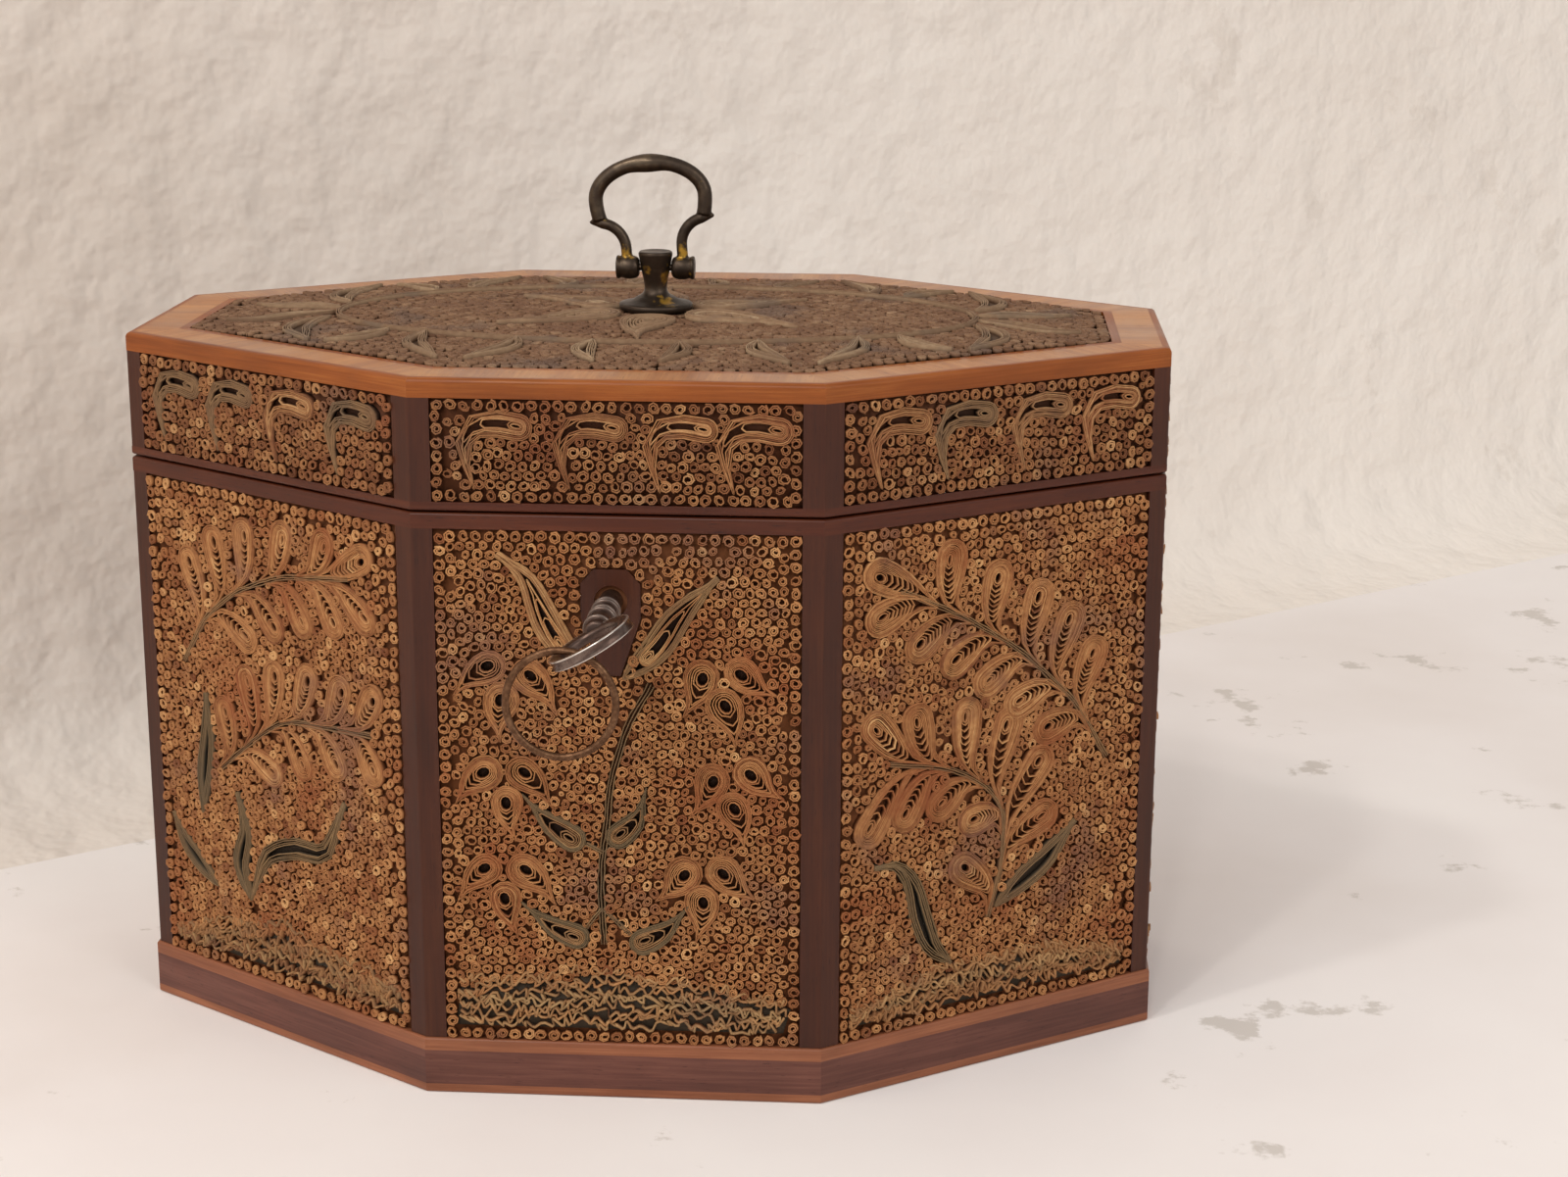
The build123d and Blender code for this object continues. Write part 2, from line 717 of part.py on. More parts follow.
def make_lock_spring():
    """A bent leaf spring under the top plate that holds the bolt down at each end of its travel."""
    prong_reach = bolt_travel_out - loop_offset - loop_thickness / 2 - finger_window_clearance
    left = key_axis_x + prong_reach + spring_thickness
    finger_right = loop_offset - loop_thickness / 2 - bolt_travel_out - finger_window_clearance / 2
    right = key_axis_x + finger_right - finger_post_width - bolt_travel_back - 2 * spring_thickness
    front = cavity_middle_y - spring_width / 2
    plane = Plane(origin=(left, front, bolt_top + stud_clearance), x_dir=(1, 0, 0), z_dir=(0, -1, 0))
    high = selvedge_bottom - bolt_top - stud_clearance
    run = right - left
    thick = spring_thickness
    bend = high / 2
    inner_bend = bend - thick
    flat_end = run - spring_kick_length
    diagonal = math.sqrt(0.5)
    leaf_face = make_face([
        Line((0, high), (0, bend)),
        ThreePointArc((0, bend), (bend * (1 - diagonal), bend * (1 - diagonal)), (bend, 0)),
        Line((bend, 0), (flat_end, 0)),
        Line((flat_end, 0), (run, thick)),
        Line((run, thick), (run, 2 * thick)),
        Line((run, 2 * thick), (flat_end, thick)),
        Line((flat_end, thick), (bend, thick)),
        ThreePointArc((bend, thick), (bend - inner_bend * diagonal, bend - inner_bend * diagonal),
                      (thick, bend)),
        Line((thick, bend), (thick, high)),
        Line((thick, high), (0, high)),
    ])
    return extrude(plane * leaf_face, amount=-spring_width)


def make_key():
    """A turned steel pipe key with collars, a flat bit at its end and a pierced oval bow."""
    start_y = cap_outer_y - key_end_clearance
    bow_back_y = -half_depth - key_bow_near
    bow_middle_y = bow_back_y - key_bow_length / 2
    forward = (0, -1, 0)
    key = rod((key_axis_x, start_y, key_axis_height), forward, key_shank_radius,
              start_y - bow_back_y + key_bow_rim / 2)
    collars_ahead = (
        first_collars_ahead, first_collars_ahead + collar_pitch,
        second_collars_ahead, second_collars_ahead + collar_pitch, bow_collar_ahead,
    )
    for ahead in collars_ahead:
        key += rod((key_axis_x, -half_depth - ahead, key_axis_height), forward,
                   collar_radius, collar_thickness)
    bore_depth = start_y - (wall_inner_y - drill_pin_length) + key_bore_past_pin
    key -= rod((key_axis_x, start_y, key_axis_height), forward,
               drill_pin_radius + key_bore_clearance, bore_depth)
    tilt = math.radians(key_bow_tilt)
    bow_plane = Plane(origin=(key_axis_x, bow_middle_y, key_axis_height),
                      x_dir=(math.cos(tilt), 0, math.sin(tilt)),
                      z_dir=(-math.sin(tilt), 0, math.cos(tilt)))
    outline = Ellipse(key_bow_half_width, key_bow_length / 2)
    outline -= Ellipse(key_bow_half_width - key_bow_rim, key_bow_length / 2 - key_bow_rim)
    bow = extrude(bow_plane * outline, amount=key_bow_thickness / 2, both=True)
    key += bow
    bit_middle_y = bolt_front_y + key_bit_length / 2
    bit_length = key_bit_reach - key_shank_radius / 2
    bit_plane = Plane(origin=(key_axis_x, bit_middle_y, key_axis_height),
                      x_dir=(-math.cos(tilt), 0, -math.sin(tilt)), z_dir=(0, -1, 0))
    bit = bit_plane * Pos(key_shank_radius / 2 + bit_length / 2, 0, 0) * Box(
        bit_length, key_bit_thickness, key_bit_length)
    return key + bit


def bow_point(across, above, bow_y):
    """A point of the key's bow plane at a given distance across the bow and above its middle."""
    tilt = math.radians(key_bow_tilt)
    return Vector(key_axis_x + across * math.cos(tilt) - above * math.sin(tilt), bow_y,
                  key_axis_height + across * math.sin(tilt) + above * math.cos(tilt))


def make_key_ring():
    """A closed wire ring that hangs on the left of the key's bow."""
    ring_y = -half_depth - key_bow_near - key_bow_length / 2 - ring_ahead_of_bow_middle
    near_share = (ring_ahead_of_bow_middle - ring_wire_radius) / (key_bow_length / 2 - key_bow_rim)
    inner_half = (key_bow_half_width - key_bow_rim) * math.sqrt(1 - near_share ** 2)
    seat = bow_point(-inner_half, key_bow_thickness / 2, ring_y)
    ring_radius = ring_outer_radius - ring_wire_radius
    centre_z = seat.Z + ring_clearance + ring_wire_radius - ring_radius
    plane = Plane(origin=(seat.X, ring_y, centre_z), x_dir=(1, 0, 0), z_dir=(0, -1, 0))
    return plane * Torus(ring_radius, ring_wire_radius)


def make_hinge_leaf(hinge_x, lid_side):
    """One leaf of a butt hinge with its share of the five knuckles."""
    left = hinge_x - hinge_width / 2
    leaf_low = lid_bottom if lid_side else case_height - hinge_leaf_thickness
    leaf_high = leaf_low + hinge_leaf_thickness
    leaf_part = block(left, left + hinge_width, half_depth - hinge_leaf_depth, half_depth,
                      leaf_low, leaf_high)
    pitch = hinge_width / 5
    bore = hinge_pin_radius + (hinge_bore_clearance if lid_side else 0.0)
    for place in range(5):
        if (place % 2 == 1) != lid_side:
            continue
        low = left + place * pitch + (hinge_knuckle_gap / 2 if place > 0 else 0.0)
        high = left + (place + 1) * pitch - (hinge_knuckle_gap / 2 if place < 4 else 0.0)
        leaf_part += block(low, high, half_depth, hinge_axis_y, leaf_low, leaf_high)
        leaf_part += rod((low, hinge_axis_y, hinge_axis_z), (1, 0, 0), hinge_knuckle_radius, high - low)
    return leaf_part - rod((left, hinge_axis_y, hinge_axis_z), (1, 0, 0), bore, hinge_width)


def make_handle_post():
    """A turned bronze post with a flared head and a threaded spindle through the lid."""
    spindle_low = nut_bottom - spindle_end
    neck_z = rosette_top + post_neck_height
    shoulder_z = post_top - post_rim_height
    rim_radius = post_head_radius - post_rim_chamfer
    half = make_face([
        Line((0, spindle_low), (spindle_radius, spindle_low)),
        Line((spindle_radius, spindle_low), (spindle_radius, rosette_top)),
        Line((spindle_radius, rosette_top), (post_foot_radius, rosette_top)),
        ThreePointArc((post_foot_radius, rosette_top),
                      (post_neck_radius + post_foot_flare, rosette_top + post_foot_height),
                      (post_neck_radius, neck_z)),
        Line((post_neck_radius, neck_z), (post_head_radius, shoulder_z)),
        Line((post_head_radius, shoulder_z), (post_head_radius, post_top - post_rim_chamfer)),
        Line((post_head_radius, post_top - post_rim_chamfer), (rim_radius, post_top)),
        Line((rim_radius, post_top), (0, post_top)),
        Line((0, post_top), (0, spindle_low)),
    ])
    post = revolve(Plane.XZ * half, axis=Axis.Z)
    bore = bail_pin_radius + bail_pin_clearance
    return post - rod((-post_head_radius * 2, 0, bail_pivot), (1, 0, 0), bore, post_head_radius * 4)


def make_crown():
    """The low dome that the top panel's figures rise to, towards the handle."""
    drop_at_edge = top_crown / 4
    half = make_face([
        ThreePointArc((0, rosette_bottom), (top_crown_radius / 2, rosette_bottom - drop_at_edge),
                      (top_crown_radius, top_panel_top)),
        Line((top_crown_radius, top_panel_top), (0, top_panel_top)),
        Line((0, top_panel_top), (0, rosette_bottom)),
    ])
    return revolve(Plane.XZ * half, axis=Axis.Z)


def make_rosette():
    """A low domed bronze disc that the post stands on."""
    edge = rosette_bottom + rosette_edge_height
    half = make_face([
        Line((spindle_radius, rosette_bottom), (rosette_radius, rosette_bottom)),
        Line((rosette_radius, rosette_bottom), (rosette_radius, edge)),
        ThreePointArc((rosette_radius, edge),
                      ((rosette_radius + post_foot_radius) / 2, (edge + rosette_top) / 2 + rosette_crown),
                      (post_foot_radius, rosette_top)),
        Line((post_foot_radius, rosette_top), (spindle_radius, rosette_top)),
        Line((spindle_radius, rosette_top), (spindle_radius, rosette_bottom)),
    ])
    return revolve(Plane.XZ * half, axis=Axis.Z)


def make_knuckle():
    """A ball with a flange on its outer side, bored for the pin."""
    inner_x = knuckle_offset - math.sqrt(knuckle_radius ** 2 - bail_pin_radius ** 2)
    flange_reach = knuckle_flange_x - knuckle_offset
    waist = math.sqrt(knuckle_radius ** 2 - flange_reach ** 2)
    half = make_face([
        ThreePointArc((inner_x, bail_pin_radius), (knuckle_offset, knuckle_radius),
                      (knuckle_flange_x, waist)),
        Line((knuckle_flange_x, waist), (knuckle_flange_x, knuckle_flange_radius)),
        Line((knuckle_flange_x, knuckle_flange_radius), (knuckle_end, knuckle_flange_radius)),
        Line((knuckle_end, knuckle_flange_radius), (knuckle_end, bail_pin_radius)),
        Line((knuckle_end, bail_pin_radius), (inner_x, bail_pin_radius)),
    ])
    return Pos(0, 0, bail_pivot) * revolve(Plane.XZ * half, axis=Axis.X)


def make_bail():
    """A cast bronze bail: two ball knuckles, two curved necks with lipped ends, and a bowed grip.

    Its loop stands on the necks, a little in from their lips.
    """
    plane = Plane(origin=(0, 0, bail_pivot), x_dir=(1, 0, 0), z_dir=(0, -1, 0))
    neck_line = Line((knuckle_offset, bail_neck_root), (knuckle_offset, bail_neck_rise))
    neck_arc = JernArc(neck_line @ 1, neck_line % 1, bail_neck_bend, -bail_neck_angle)
    lean = math.radians(bail_leg_lean)
    leg_arc = JernArc((bail_leg_x, bail_leg_foot), (math.sin(lean), math.cos(lean)), bail_leg_bend,
                      bail_leg_lean)
    outer_arc = JernArc(leg_arc @ 1, leg_arc % 1, bail_outer_bend, 90)
    grip_end = outer_arc @ 1
    grip_line = Line(grip_end, (0, grip_end.Y))
    neck_path = plane * Wire([neck_line, neck_arc])
    loop_path = plane * Wire([leg_arc, outer_arc, grip_line])
    neck = sweep(Plane(origin=neck_path @ 0, z_dir=neck_path % 0) * Circle(bail_neck_radius), neck_path)
    loop = sweep(Plane(origin=loop_path @ 0, z_dir=loop_path % 0) * Circle(bail_loop_radius), loop_path)
    joint = neck_path @ 1
    side = neck + loop
    heading = neck_path % 1
    side += Plane(origin=joint, z_dir=heading) * Cone(
        bail_neck_radius, bail_tip_radius, bail_tip_length, align=(Align.CENTER, Align.CENTER, Align.MIN))
    side += Pos(*(joint + heading * bail_tip_length)) * Sphere(bail_tip_radius)
    side += make_knuckle()
    grip_z = bail_pivot + grip_end.Y - bail_belly_drop
    half_length = bail_belly_length / 2
    belly_outline = make_face([
        ThreePointArc((-half_length, bail_belly_end_radius), (0, bail_belly_radius),
                      (half_length, bail_belly_end_radius)),
        Line((half_length, bail_belly_end_radius), (half_length, 0)),
        Line((half_length, 0), (-half_length, 0)),
        Line((-half_length, 0), (-half_length, bail_belly_end_radius)),
    ])
    belly = Pos(0, 0, grip_z) * revolve(Plane.XZ * belly_outline, axis=Axis.X)
    whole = side + mirror(side, about=Plane.YZ) + belly
    return whole


def make_bail_pin():
    return rod((-knuckle_end, 0, bail_pivot), (1, 0, 0), bail_pin_radius, 2 * knuckle_end)


os.makedirs("parts", exist_ok=True)

# Screws come first, because the pieces that they hold are cut to fit them
lock_screws = [
    screw_at((key_axis_x + place, selvedge_middle_y, case_height), (0, 0, -1))
    for place in (-selvedge_screw_offset, selvedge_screw_offset)
]
cap_screws = [
    screw_at((key_axis_x + place, wall_inner_y, cap_screw_height), (0, -1, 0), cap_screw_length)
    for place in (-cap_screw_offset, cap_screw_offset)
]
link_screws = [
    screw_at((key_axis_x + place, selvedge_middle_y, lid_bottom), (0, 0, 1))
    for place in (-link_screw_offset, link_screw_offset)
]
hinge_places = (-hinge_spacing / 2, hinge_spacing / 2)
hinge_screw_y = half_depth - hinge_leaf_depth + hinge_screw_inset
case_hinge_screws = [
    screw_at((hinge_x + place, hinge_screw_y, case_height), (0, 0, -1))
    for hinge_x in hinge_places
    for place in (-hinge_screw_spacing / 2, hinge_screw_spacing / 2)
]
lid_hinge_screws = [
    screw_at((hinge_x + place, hinge_screw_y, lid_bottom), (0, 0, 1))
    for hinge_x in hinge_places
    for place in (-hinge_screw_spacing / 2, hinge_screw_spacing / 2)
]
save("lock_screws", *lock_screws)
save("lock_cap_screws", *cap_screws)
save("link_plate_screws", *link_screws)
save("hinge_case_screws", *case_hinge_screws)
save("hinge_lid_screws", *lid_hinge_screws)

# Lock and key
lock_case = make_lock_case()
drill_pin = rod((key_axis_x, wall_inner_y, key_axis_height), (0, -1, 0), drill_pin_radius, drill_pin_length)
lock_cap = block(lock_left, lock_right, cap_outer_y, wall_inner_y, lock_bottom, selvedge_bottom)
save("lock_case", fitted(lock_case, *lock_screws, *cap_screws))
save("lock_cap", fitted(lock_cap, *cap_screws, drill_pin))
save("lock_drill_pin", drill_pin)
save("lock_bolt", make_bolt())
save("lock_spring", make_lock_spring())
link_plate = make_link_plate()
save("link_plate", fitted(link_plate, *link_screws))
save("key", make_key())
save("key_ring", make_key_ring())

# Hinges
case_leaves = [make_hinge_leaf(hinge_x, False) for hinge_x in hinge_places]
lid_leaves = [make_hinge_leaf(hinge_x, True) for hinge_x in hinge_places]
save("hinge_case_leaves", *[fitted(leaf_part, *case_hinge_screws) for leaf_part in case_leaves])
save("hinge_lid_leaves", *[fitted(leaf_part, *lid_hinge_screws) for leaf_part in lid_leaves])
save("hinge_pins", *[
    rod((hinge_x - hinge_width / 2, hinge_axis_y, hinge_axis_z), (1, 0, 0), hinge_pin_radius, hinge_width)
    for hinge_x in hinge_places
])

# Case
save("bottom_board", octagon(facing_thickness, 0, bottom_thickness))
case_boards = [
    mitred_board(side, facing_thickness, inner_inset, bottom_thickness, rail_bottom)
    for side in range(8)
]
keyhole_through = front_cut(keyhole_outline(), -quill_relief, inner_inset)
case_front_board = fitted(case_boards[FRONT], lock_envelope, *lock_screws, keyhole_through)
save("case_front_board", case_front_board)
save("case_back_board", fitted(case_boards[BACK], *case_hinge_screws))
save("case_side_boards", *[case_boards[side] for side in range(8) if side not in (FRONT, BACK)])
case_rails = mitred_frame(0, inner_inset, rail_bottom, case_height, top_radius=rail_arris_radius)
case_rails[FRONT] = fitted(case_rails[FRONT], lock_envelope, selvedge_envelope, *lock_screws)
case_rails[BACK] = fitted(case_rails[BACK], *case_leaves, *case_hinge_screws)
save("case_top_rail", *case_rails)
save("case_corner_posts", *corner_posts(plinth_height, rail_bottom))
save("plinth_lower_line", *mitred_frame(-plinth_proud, facing_thickness, 0, plinth_lower_line,
                                        bottom_radius=rail_arris_radius))
plinth_upper_bottom = plinth_height - plinth_upper_line
save("plinth_band", *mitred_frame(-plinth_proud, facing_thickness, plinth_lower_line, plinth_upper_bottom))
save("plinth_upper_line", *mitred_frame(-plinth_proud, facing_thickness, plinth_upper_bottom,
                                        plinth_height, top_radius=rail_arris_radius))
lining = octagon(inner_inset, bottom_thickness, rail_bottom)
lining -= octagon(inner_inset + lining_thickness, bottom_thickness + lining_thickness, rail_bottom)
lining -= block(lock_left, lock_right, wall_inner_y, wall_inner_y + 2 * lining_thickness,
                lock_bottom, rail_bottom)
save("case_foil_lining", lining)

# Keyhole surround, let into the front panel
surround_outline = make_face(Polyline(
    (-surround_head_half_width, surround_above_axis),
    (-surround_half_width, surround_shoulder_above_axis),
    (-surround_half_width, -surround_waist_below_axis),
    (-surround_foot_half_width, -surround_below_axis),
    (surround_foot_half_width, -surround_below_axis),
    (surround_half_width, -surround_waist_below_axis),
    (surround_half_width, surround_shoulder_above_axis),
    (surround_head_half_width, surround_above_axis),
    close=True,
))
surround_blank = front_cut(surround_outline, 0.0, facing_thickness)
surround_space = front_cut(surround_outline, -quill_relief, facing_thickness)
save("keyhole_surround", fitted(surround_blank, keyhole_through))

# Quilled panels of the case and of the lid
for side, name in enumerate(side_names):
    width = panel_width(side)
    scrolls = round(front_scroll_count * width / panel_width(FRONT))
    if name in ("front", "back"):
        shapes = front_figures(width)
    elif name in ("front_right", "back_left"):
        shapes = right_figures(width)
    elif name in ("front_left", "back_right"):
        shapes = left_figures(width)
    else:
        shapes = end_figures(width)
        scrolls = end_scroll_count
    panel = quilled_panel(side, plinth_height, rail_bottom, shapes)
    if side == FRONT:
        panel -= surround_space
    save(f"{name}_quilled_panel", panel)
    lid_panel = quilled_panel(side, lid_rail_top, band_bottom, lid_figures(width, scrolls))
    save(f"lid_{name}_quilled_panel", lid_panel)

# Lid
lid_boards = [
    mitred_board(side, facing_thickness, inner_inset, lid_rail_top, lid_board_bottom)
    for side in range(8)
]
lid_boards[FRONT] = fitted(lid_boards[FRONT], *link_screws)
lid_boards[BACK] = fitted(lid_boards[BACK], *lid_hinge_screws)
save("lid_wall_boards", *lid_boards)
lid_rails = mitred_frame(0, inner_inset, lid_bottom, lid_rail_top, bottom_radius=rail_arris_radius)
lid_rails[FRONT] = fitted(lid_rails[FRONT], link_plate, *link_screws)
lid_rails[BACK] = fitted(lid_rails[BACK], *lid_leaves, *lid_hinge_screws)
save("lid_bottom_rail", *lid_rails)
save("lid_corner_posts", *corner_posts(lid_rail_top, band_bottom))
spindle_hole = rod((0, 0, nut_bottom - spindle_end), (0, 0, 1), spindle_radius, rosette_top - nut_bottom)
save("lid_top_board", octagon(facing_thickness, lid_board_bottom, band_bottom) - spindle_hole)
save("lid_edge_line", *mitred_frame(0, edge_inset, band_bottom, lid_top, top_radius=edge_arris_radius))
save("lid_crossbanding", *mitred_frame(edge_inset, inner_line_inset, band_bottom, lid_top))
save("lid_inner_line", *mitred_frame(inner_line_inset, top_panel_inset, band_bottom, lid_top))
top_border = octagon(top_panel_inset, band_bottom, top_panel_top)
top_border -= octagon(top_panel_inset + border_width, band_bottom, top_panel_top)
top_ground = octagon(top_panel_inset, band_bottom, band_bottom + top_ground_thickness)
top_relief = extrude(Pos(0, 0, band_bottom) * joined(top_figures()), amount=rosette_bottom - band_bottom)
top_relief &= octagon(top_panel_inset, band_bottom, top_panel_top) + make_crown()
top_pad = rod((0, 0, band_bottom), (0, 0, 1), rosette_radius + rosette_pad_margin, rosette_bottom - band_bottom)
save("lid_top_quilled_panel", top_ground + top_border + top_relief + top_pad - spindle_hole)
lid_lining = octagon(inner_inset, lid_rail_top, lid_board_bottom)
lid_lining -= octagon(inner_inset + lining_thickness, lid_rail_top, washer_top)
save("lid_lining", lid_lining - spindle_hole)

# Handle
save("handle_rosette", make_rosette())
save("handle_post", make_handle_post())
washer_blank = rod((0, 0, washer_bottom), (0, 0, 1), washer_radius, washer_thickness)
save("handle_washer", washer_blank - spindle_hole)
nut_blank = extrude(Pos(0, 0, nut_bottom) * RegularPolygon(nut_radius, 6), amount=nut_height)
save("handle_nut", nut_blank - spindle_hole)
save("bail", make_bail())
save("bail_pin", make_bail_pin())
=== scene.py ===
"""The looks of an eight-sided caddy box: woods, rolled paper, lock, key with its ring, bail handle.

Metres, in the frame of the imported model. Values that end in _mm are millimetres.
"""
import math

import bpy
import numpy as np
from mathutils import Matrix, Vector


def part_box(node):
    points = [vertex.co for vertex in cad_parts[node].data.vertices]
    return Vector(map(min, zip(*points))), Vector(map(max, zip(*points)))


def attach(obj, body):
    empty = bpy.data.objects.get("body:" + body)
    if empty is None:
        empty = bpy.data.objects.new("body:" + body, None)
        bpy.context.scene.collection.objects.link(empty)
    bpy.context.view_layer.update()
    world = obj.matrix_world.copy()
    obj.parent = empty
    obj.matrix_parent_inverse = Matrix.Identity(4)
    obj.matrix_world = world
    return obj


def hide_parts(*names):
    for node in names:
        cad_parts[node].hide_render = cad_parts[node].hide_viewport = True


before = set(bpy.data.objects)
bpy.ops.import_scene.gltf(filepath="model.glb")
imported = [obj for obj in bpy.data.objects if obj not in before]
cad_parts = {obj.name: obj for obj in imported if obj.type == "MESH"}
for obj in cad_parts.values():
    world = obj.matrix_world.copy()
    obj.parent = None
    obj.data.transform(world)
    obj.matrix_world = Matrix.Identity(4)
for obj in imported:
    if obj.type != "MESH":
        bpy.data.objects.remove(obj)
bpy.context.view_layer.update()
bpy.ops.object.select_all(action="DESELECT")
MM = 0.001

# Carcase boards.
# The bottom, the eight mitred walls and the lid's boards are bare old pine, planed and glued.
# They show only inside the open lid and under the box.


def linear(colour):
    """An sRGB hex colour as the linear colour that a socket takes."""
    parts = [int(colour[k:k + 2], 16) / 255 for k in (1, 3, 5)]
    return [c / 12.92 if c <= 0.04045 else ((c + 0.055) / 1.055) ** 2.4 for c in parts] + [1.0]


def add_node(tree, kind, inputs=(), stops=(), **settings):
    """Adds a node: inputs are pairs of a socket and its value or its source, stops are a ramp's colours."""
    node = tree.nodes.new(kind)
    for name, value in settings.items():
        setattr(node, name, value)
    for socket, value in dict(inputs).items():
        if isinstance(value, bpy.types.NodeSocket):
            tree.links.new(value, node.inputs[socket])
        elif isinstance(value, str):
            node.inputs[socket].default_value = linear(value)
        else:
            node.inputs[socket].default_value = value
    for number, (place, colour) in enumerate(stops):
        ramp = node.color_ramp.elements
        stop = ramp[number] if number < 2 else ramp.new(place)
        stop.position = place
        stop.color = linear(colour)
    return node


def new_material(name):
    material = bpy.data.materials.new(name)
    material.use_nodes = True
    return material, material.node_tree, material.node_tree.nodes["Principled BSDF"]


def dress(material, *nodes):
    """Gives CAD nodes a material."""
    for name in nodes:
        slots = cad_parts[name].data.materials
        slots.clear()
        slots.append(material)


half_length, half_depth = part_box("lid_edge_line")[1].xy
post_width = 3.5 * MM
front_half_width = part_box("front_quilled_panel")[1].x + post_width
end_half_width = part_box("right_end_quilled_panel")[1].y + post_width
corners = [Vector(corner) for corner in (
    (-front_half_width, -half_depth), (front_half_width, -half_depth),
    (half_length, -end_half_width), (half_length, end_half_width),
    (front_half_width, half_depth), (-front_half_width, half_depth),
    (-half_length, end_half_width), (-half_length, -end_half_width),
)]
diagonal = (corners[2] - corners[1]).normalized()
diagonal_outward = Vector((diagonal.y, -diagonal.x))
diagonal_distance = corners[1].dot(diagonal_outward)
# Far shifts, so that no side's grain runs on into the next side's
grain_shift_x_mm, grain_shift_y_mm = 170.0, 410.0


def side_position(tree):
    """Sockets of the distance along the nearest side, in from its face, and up, in millimetres."""
    place = add_node(tree, "ShaderNodeTexCoord").outputs["Object"]
    place = add_node(tree, "ShaderNodeVectorMath", {0: place, 3: 1 / MM}, operation="SCALE").outputs[0]
    split = add_node(tree, "ShaderNodeSeparateXYZ", {0: place}).outputs
    known = {"x": split[0], "y": split[1]}
    for name, operation, first, second in (
        ("wide", "ABSOLUTE", "x", 0.0), ("deep", "ABSOLUTE", "y", 0.0),
        ("to_front", "SUBTRACT", "deep", half_depth / MM),
        ("to_end", "SUBTRACT", "wide", half_length / MM),
        ("near_x", "MULTIPLY", "wide", diagonal_outward.x),
        ("near_y", "MULTIPLY", "deep", -diagonal_outward.y),
        ("near", "ADD", "near_x", "near_y"),
        ("to_diagonal", "SUBTRACT", "near", diagonal_distance / MM),
        ("front_or_diagonal", "MAXIMUM", "to_front", "to_diagonal"),
        ("is_end", "GREATER_THAN", "to_end", "front_or_diagonal"),
        ("front_or_end", "MAXIMUM", "to_front", "to_end"),
        ("is_diagonal", "GREATER_THAN", "to_diagonal", "front_or_end"),
        ("along_x", "MULTIPLY", "wide", diagonal.x), ("along_y", "MULTIPLY", "deep", -diagonal.y),
        ("along_diagonal", "ADD", "along_x", "along_y"),
        ("x_sign", "SIGN", "x", 0.0), ("shift_x", "MULTIPLY", "x_sign", grain_shift_x_mm),
        ("y_sign", "SIGN", "y", 0.0), ("shift_y", "MULTIPLY", "y_sign", grain_shift_y_mm),
        ("shift", "ADD", "shift_x", "shift_y"), ("on_diagonal", "ADD", "along_diagonal", "shift"),
        ("on_end", "ADD", "y", "shift_x"), ("on_front", "ADD", "x", "shift_y"),
        ("inwards", "MAXIMUM", "front_or_end", "to_diagonal"),
    ):
        known[name] = add_node(tree, "ShaderNodeMath", {0: known[first], 1: known.get(second, second)},
                               operation=operation).outputs[0]
    along = add_node(tree, "ShaderNodeMix", {
        0: known["is_end"], 2: known["on_front"], 3: known["on_end"],
    }).outputs[0]
    along = add_node(tree, "ShaderNodeMix", {
        0: known["is_diagonal"], 2: along, 3: known["on_diagonal"],
    }).outputs[0]
    return along, known["inwards"], split[2]


polish_patch_mm = 16.67


